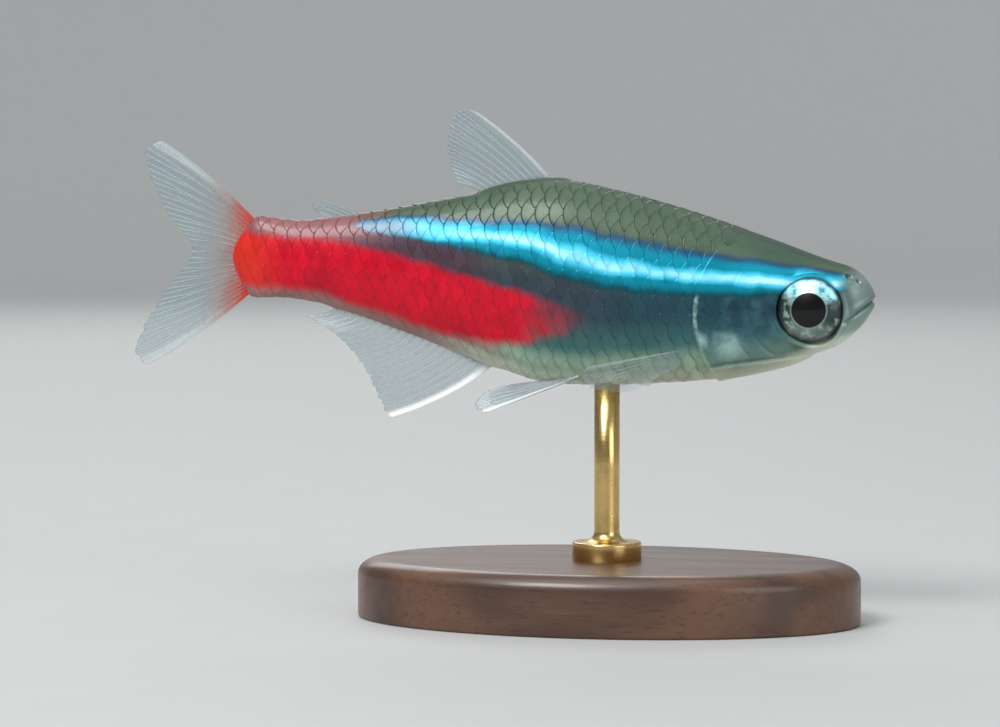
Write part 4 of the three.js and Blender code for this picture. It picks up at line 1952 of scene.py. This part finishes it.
    def specks(
        self, write: NodeWriter, base: Socket, height: Socket, band: Socket
    ) -> tuple[Socket, Socket]:
        """Fine dark specks over the back and crown.

        Args:
            write: The group's writer.
            base: The colour so far.
            height: Share above the axis.
            band: The stripe's mask.

        Returns:
            The speckled colour, and the specks' mask.
        """
        dots = write.off(write.cells(9500.0), 0.16, 0.34)
        above = write.step(height, 0.035, 0.1)
        loose = write.step(write.noise(2400.0), 0.42, 0.62)
        mask = write.times(dots, above, loose, write.off(band, 0.1, 0.8))
        return write.mix(write.times(mask, 0.8), base, self.speck), mask


@dataclass(frozen=True)
class SkinFinish:
    """Wet, pearly fish skin or scales."""

    name: str
    scaled: bool

    def build(self, markings: bpy.types.NodeTree) -> bpy.types.Material:
        """Makes the material from the shared markings.

        Args:
            markings: The markings' group.

        Returns:
            The material.
        """
        material, write, shader = new_material(self.name)
        marks = write.group(markings)
        if self.scaled:
            write.feed(marks.inputs["Edge"], write.painted("free_edge"))
            write.feed(marks.inputs["Tone"], write.painted("tone"))
        for target, source in (
            ("Base Color", "Color"),
            ("Metallic", "Metallic"),
            ("Roughness", "Roughness"),
            ("Emission Color", "Glow"),
        ):
            write.feed(shader.inputs[target], marks.outputs[source])
        write.feed(shader.inputs["Normal"], write.bump(marks.outputs["Height"], 0.012 * MM, 0.6))
        shader.inputs["Emission Strength"].default_value = 0.22
        shader.inputs["Coat Weight"].default_value = 0.14
        shader.inputs["Coat Roughness"].default_value = 0.1
        shader.inputs["Specular IOR Level"].default_value = 0.22
        return material


@dataclass(frozen=True)
class FinFinish:
    """Clear membrane between pale rays."""

    name: str = "clear_fin"
    ray: Colour = (0.42, 0.5, 0.5)
    membrane: Colour = (0.2, 0.29, 0.33)
    white: Colour = (0.92, 0.95, 0.94)
    red: Colour = (0.58, 0.022, 0.01)
    rust: Colour = (0.3, 0.1, 0.045)
    speck: Colour = (0.03, 0.04, 0.04)

    def build(self, place_group: bpy.types.NodeTree) -> bpy.types.Material:
        """Makes the fins' material.

        Args:
            place_group: The group that gives place and height on the fish.

        Returns:
            The material.
        """
        material, write, shader = new_material(self.name)
        ray, along = write.painted("ray"), write.painted("along")
        edge, body = write.painted("edge_ray"), write.painted("body")
        joints = write.math("SINE", write.times(along, 190.0))
        joint_mask = write.times(write.step(joints, 0.75, 1.0), ray, write.step(along, 0.2, 0.35))
        colour = write.mix(ray, self.membrane, self.ray)
        colour = write.mix(write.times(joint_mask, 0.4), colour, self.membrane)
        colour = write.mix(edge, colour, self.white)
        where = write.group(place_group)
        far = write.math("MULTIPLY_ADD", ray, -0.025, where.outputs["Place"])
        far = write.math("MULTIPLY_ADD", write.noise(1500.0, 3.0), 0.04, far)
        tail = write.step(where.outputs["Place"], 0.93, 0.96)
        rust = write.times(write.off(far, 1.01, 1.09), tail)
        red = write.times(write.off(far, 0.99, 1.045), tail)
        colour = write.mix(write.times(rust, 0.8), colour, self.rust)
        colour = write.mix(red, colour, self.red)
        specks = write.off(write.cells(8200.0), 0.12, 0.3)
        specks = write.times(specks, write.step(write.noise(2300.0), 0.5, 0.7), write.off(edge, 0.1, 0.4))
        colour = write.mix(write.times(specks, 0.6), colour, self.speck)
        clear = write.times(write.math("MULTIPLY_ADD", ray, 0.36, 0.26), body)
        clear = write.math("MAXIMUM", clear, write.times(edge, 0.95))
        clear = write.math("MAXIMUM", clear, write.times(rust, 0.55))
        clear = write.math("MAXIMUM", clear, red)
        clear = write.math("MAXIMUM", clear, write.times(specks, 0.5))
        clear = write.math("MAXIMUM", clear, write.times(write.off(along, 0.04, 0.25), body, 0.85))
        write.feed(shader.inputs["Base Color"], colour)
        write.feed(shader.inputs["Alpha"], clear)
        write.feed(shader.inputs["Roughness"], write.math("MULTIPLY_ADD", write.noise(6000.0), 0.2, 0.25))
        write.feed(shader.inputs["Normal"], write.bump(write.noise(9000.0), 0.008 * MM, 0.5))
        shader.inputs["Coat Weight"].default_value = 0.4
        shader.inputs["Coat Roughness"].default_value = 0.15
        return material


@dataclass(frozen=True)
class EyeFinish:
    """Black pupil in an iris, bright blue-green with a painted glowing highlight above, and dark with
    silver below, under a wet surface.
    """

    name: str = "wet_eye"
    pupil: float = PUPIL_SHARE
    black: Colour = (0.001, 0.002, 0.002)
    dark: Colour = (0.03, 0.056, 0.052)
    rim: Colour = (0.006, 0.016, 0.02)
    pale: Colour = (0.36, 0.46, 0.42)
    # White-cyan of the painted highlight over the iris's top.
    shine: Colour = (0.5, 0.95, 1.0)
    blue: Colour = (0.02, 0.3, 0.42)

    def build(self) -> bpy.types.Material:
        """Makes the eyes' material.

        Returns:
            The material.
        """
        material, write, shader = new_material(self.name)
        middle, up, level = (write.painted(name) for name in ("from_middle", "eye_up", "eye_level"))
        threads = write.noise(3800.0, 6.0)
        flecks = write.step(write.noise(2600.0, 5.0), 0.5, 0.66)
        lower = write.mix(write.times(flecks, 0.85), self.dark, self.pale)
        silver = write.times(write.off(up, -0.85, -0.35), write.math("MULTIPLY_ADD", threads, 0.6, 0.1))
        lower = write.mix(silver, lower, self.pale)
        # Over the iris's upper part the blue is the eye's own and the white-cyan is a painted highlight.
        bar = write.step(write.math("MULTIPLY_ADD", threads, 0.5, level), 0.5, 0.86)
        upper = write.mix(write.step(threads, 0.26, 0.6), self.blue, self.shine)
        iris = write.mix(bar, lower, upper)
        iris = write.mix(write.times(write.step(middle, 0.88, 0.985), 0.85), iris, self.rim)
        ring = write.times(write.off(middle, self.pupil + 0.015, self.pupil + 0.07), 0.5)
        iris = write.mix(ring, iris, self.pale)
        seen = write.step(middle, self.pupil - 0.012, self.pupil + 0.012)
        write.feed(shader.inputs["Base Color"], write.mix(seen, self.black, iris))
        write.feed(shader.inputs["Metallic"], write.times(seen, 0.6))
        write.feed(shader.inputs["Roughness"], write.math("MULTIPLY_ADD", threads, 0.2, 0.24))
        write.feed(shader.inputs["Normal"], write.bump(threads, 0.012 * MM, 0.6))
        # The painted highlight also glows, over the bar, outside the pupil and short of the iris's outer
        # edge.
        bright = write.times(bar, seen, write.off(middle, 0.82, 0.95), threads)
        write.feed(shader.inputs["Emission Color"], write.mix(bright, BLACK, self.shine))
        shader.inputs["Emission Strength"].default_value = 0.3
        shader.inputs["Specular IOR Level"].default_value = 0.15
        shader.inputs["Coat Weight"].default_value = 0.8
        shader.inputs["Coat IOR"].default_value = 1.33
        shader.inputs["Coat Roughness"].default_value = 0.02
        return material


@dataclass(frozen=True)
class WoodFinish:
    """Dark varnished wood with its grain along the base."""

    name: str = "varnished_wood"
    grain_scale: tuple[float, float, float] = (0.12, 1.0, 1.0)
    dark: Colour = (0.055, 0.022, 0.011)
    light: Colour = (0.15, 0.066, 0.031)
    streak: Colour = (0.035, 0.014, 0.007)
    pore: Colour = (0.012, 0.005, 0.003)

    def build(self) -> bpy.types.Material:
        """Makes the base's material.

        Returns:
            The material.
        """
        material, write, shader = new_material(self.name)
        mapping = write.add("ShaderNodeMapping")
        mapping.inputs["Scale"].default_value = self.grain_scale
        write.feed(mapping.inputs["Vector"], write.place())
        along = mapping.outputs["Vector"]
        rings = write.add("ShaderNodeTexWave", wave_type="BANDS", bands_direction="Y")
        rings.inputs["Scale"].default_value = 120.0
        rings.inputs["Distortion"].default_value = 14.0
        rings.inputs["Detail"].default_value = 4.0
        rings.inputs["Detail Scale"].default_value = 0.7
        write.feed(rings.inputs["Vector"], along)
        figure = write.math("MULTIPLY_ADD", rings.outputs["Fac"], 0.4, write.noise(700.0, 4.0, along))
        pores = write.step(write.noise(9000.0, 2.0, along), 0.56, 0.7)
        streaks = write.noise(2400.0, 6.0, along)
        colour = write.mix(write.step(figure, 0.35, 1.0), self.dark, self.light)
        colour = write.mix(write.times(streaks, 0.6), colour, self.streak)
        colour = write.mix(write.times(pores, 0.5), colour, self.pore)
        write.feed(shader.inputs["Base Color"], colour)
        write.feed(shader.inputs["Roughness"], write.math("MULTIPLY_ADD", streaks, 0.2, 0.34))
        write.feed(shader.inputs["Normal"], write.bump(pores, -0.01 * MM, 0.4))
        shader.inputs["Coat Weight"].default_value = 0.4
        shader.inputs["Coat Roughness"].default_value = 0.18
        return material


@dataclass(frozen=True)
class BrassFinish:
    """Turned brass with fine tool rings and a light tarnish."""

    name: str = "turned_brass"
    ring_scale: tuple[float, float, float] = (0.05, 0.05, 1.0)
    bright: Colour = (0.72, 0.5, 0.2)
    tarnished: Colour = (0.4, 0.25, 0.09)

    def build(self) -> bpy.types.Material:
        """Makes the rod's material.

        Returns:
            The material.
        """
        material, write, shader = new_material(self.name)
        mapping = write.add("ShaderNodeMapping")
        mapping.inputs["Scale"].default_value = self.ring_scale
        write.feed(mapping.inputs["Vector"], write.place())
        lines = write.noise(16000.0, 2.0, mapping.outputs["Vector"])
        tarnish = write.step(write.noise(900.0, 5.0), 0.45, 0.75)
        colour = write.mix(write.times(tarnish, 0.5), self.bright, self.tarnished)
        write.feed(shader.inputs["Base Color"], colour)
        rough = write.math("ADD", write.times(lines, 0.14), write.times(tarnish, 0.15))
        write.feed(shader.inputs["Roughness"], write.math("ADD", rough, 0.16))
        write.feed(shader.inputs["Normal"], write.bump(lines, 0.004 * MM, 0.5))
        shader.inputs["Metallic"].default_value = 1.0
        return material


# Studio


@dataclass(frozen=True)
class Lamp:
    """One soft square light: where it hangs from the part's middle, its side in metres and its power."""

    name: str
    offset: tuple[float, float, float]
    side: float
    watts: float


@dataclass(frozen=True)
class Studio:
    """A pale floor that turns up into the backdrop, soft lights and the camera."""

    azimuth: float = math.radians(12)
    elevation: float = math.radians(3)
    lens: float = 120.0
    sensor: float = 36.0
    frame_width: float = 43.5 * MM
    floor_radius: float = 0.42
    sweep: float = 0.3
    floor_colour: Colour = (0.46, 0.465, 0.46)
    lamps: tuple[Lamp, ...] = (
        Lamp("key", (-0.1, -0.24, 0.24), 0.13, 0.8),
        Lamp("fill", (0.28, -0.2, 0.1), 0.2, 0.3),
        Lamp("behind", (-0.12, 0.28, 0.2), 0.2, 0.3),
        Lamp("over", (0.0, 0.04, 0.34), 0.26, 0.2),
    )
    wash_way: tuple[float, float, float] = (0.25, 0.55, -1.0)
    wash_angle: float = math.radians(50)
    wash_power: float = 1.0
    air_colour: tuple[float, float, float, float] = (0.9, 0.95, 1.0, 1.0)
    air_strength: float = 0.45

    def floor(self) -> bpy.types.Object:
        """The round floor, swept up into a low wall all round, and marked as backdrop.

        Returns:
            The floor.
        """
        profile = [(radius * self.floor_radius, 0.0) for radius in (0.02, 0.1, 0.3, 0.6, 1.0)]
        for turn in np.linspace(0, math.pi / 2, 24)[1:]:
            rise = self.sweep * (1 - math.cos(turn))
            profile.append((self.floor_radius + self.sweep * math.sin(turn), rise))
        profile.append((self.floor_radius + self.sweep, self.sweep * 1.3))
        turns = np.linspace(0, 2 * math.pi, 96, endpoint=False)
        vertices = [(r * math.cos(turn), r * math.sin(turn), z) for r, z in profile for turn in turns]
        faces = [tuple(reversed(quad)) for quad in grid_faces(len(profile), len(turns), wrap=True)]
        faces.append(tuple(range(len(turns))))
        piece = new_piece("floor", np.array(vertices), faces)
        material, write, shader = new_material("studio_floor")
        tone = write.noise(260.0, 3.0)
        shade = tuple(0.97 * part for part in self.floor_colour)
        write.feed(shader.inputs["Base Color"], write.mix(tone, self.floor_colour, shade))
        write.feed(shader.inputs["Roughness"], write.math("MULTIPLY_ADD", tone, 0.1, 0.7))
        piece.data.materials.append(material)
        piece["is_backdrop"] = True
        return piece

    def light(self, lamp: Lamp, aim: Vector) -> None:
        """Hangs one lamp.

        Args:
            lamp: What it is.
            aim: The part's middle, which it points at.
        """
        data = bpy.data.lights.new(lamp.name, "AREA")
        data.size = lamp.side
        data.energy = lamp.watts
        hung = bpy.data.objects.new(lamp.name, data)
        hung.location = aim + Vector(lamp.offset)
        hung.rotation_euler = (-Vector(lamp.offset)).to_track_quat("-Z", "Y").to_euler()
        hung.visible_camera = False
        bpy.context.scene.collection.objects.link(hung)

    def lights(self, aim: Vector) -> None:
        """Hangs the lamps and sets an even wash and the light of the air.

        Args:
            aim: The part's middle.
        """
        for lamp in self.lamps:
            self.light(lamp, aim)
        wash = bpy.data.lights.new("wash", "SUN")
        wash.angle = self.wash_angle
        wash.energy = self.wash_power
        hung = bpy.data.objects.new("wash", wash)
        hung.rotation_euler = Vector(self.wash_way).to_track_quat("-Z", "Y").to_euler()
        bpy.context.scene.collection.objects.link(hung)
        world = bpy.context.scene.world or bpy.data.worlds.new("studio_air")
        bpy.context.scene.world = world
        world.use_nodes = True
        air = world.node_tree.nodes["Background"]
        air.inputs["Color"].default_value = self.air_colour
        air.inputs["Strength"].default_value = self.air_strength

    def camera(self, aim: Vector) -> None:
        """Sets the camera at the photo's angle, near enough for the fish to fill most of the frame.

        Args:
            aim: The part's middle, which it looks at.
        """
        data = bpy.data.cameras.new("camera")
        data.lens = self.lens
        data.sensor_width = self.sensor
        data.clip_start = 0.005
        distance = self.frame_width * self.lens / self.sensor
        level = math.cos(self.elevation)
        away = Vector(
            (
                math.sin(self.azimuth) * level,
                -math.cos(self.azimuth) * level,
                math.sin(self.elevation),
            )
        )
        camera = bpy.data.objects.new("camera", data)
        camera.location = aim + away * distance
        camera.rotation_euler = (-away).to_track_quat("-Z", "Y").to_euler()
        bpy.context.scene.collection.objects.link(camera)
        bpy.context.scene.camera = camera

    def build(self) -> None:
        """Makes floor, lights and camera round the middle of the part."""
        low, high = (Vector(corner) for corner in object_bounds())
        aim = (low + high) / 2
        self.floor()
        self.lights(aim)
        self.camera(aim)
        bpy.context.scene.view_settings.view_transform = "Standard"


def report(piece: bpy.types.Object) -> None:
    """Logs a piece and its number of faces."""
    LOG.info("%s: %d faces", piece.name, len(piece.data.polygons))


def main() -> None:
    """Builds every piece in order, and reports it."""
    logging.basicConfig(level=logging.INFO, format="%(message)s")
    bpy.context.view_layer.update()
    form = FishForm()
    Studio().build()
    markings = Markings(form)
    place_group = markings.place_group()
    marks = markings.build(place_group)

    report(Skin(form, HeadRelief(form)).build(SkinFinish("fish_skin", False).build(marks)))
    for scales in Scales(form).build(SkinFinish("fish_scales", True).build(marks)):
        report(scales)
    for fin in Fins(form).build(FinFinish().build(place_group)):
        report(fin)
    eye_finish = EyeFinish().build()
    for hand in (1, -1):
        report(Eye(form, hand).build(eye_finish))
    stand = Stand()
    report(stand.base(WoodFinish().build()))
    report(stand.rod(BrassFinish().build()))


if __name__ == "__main__":
    main()
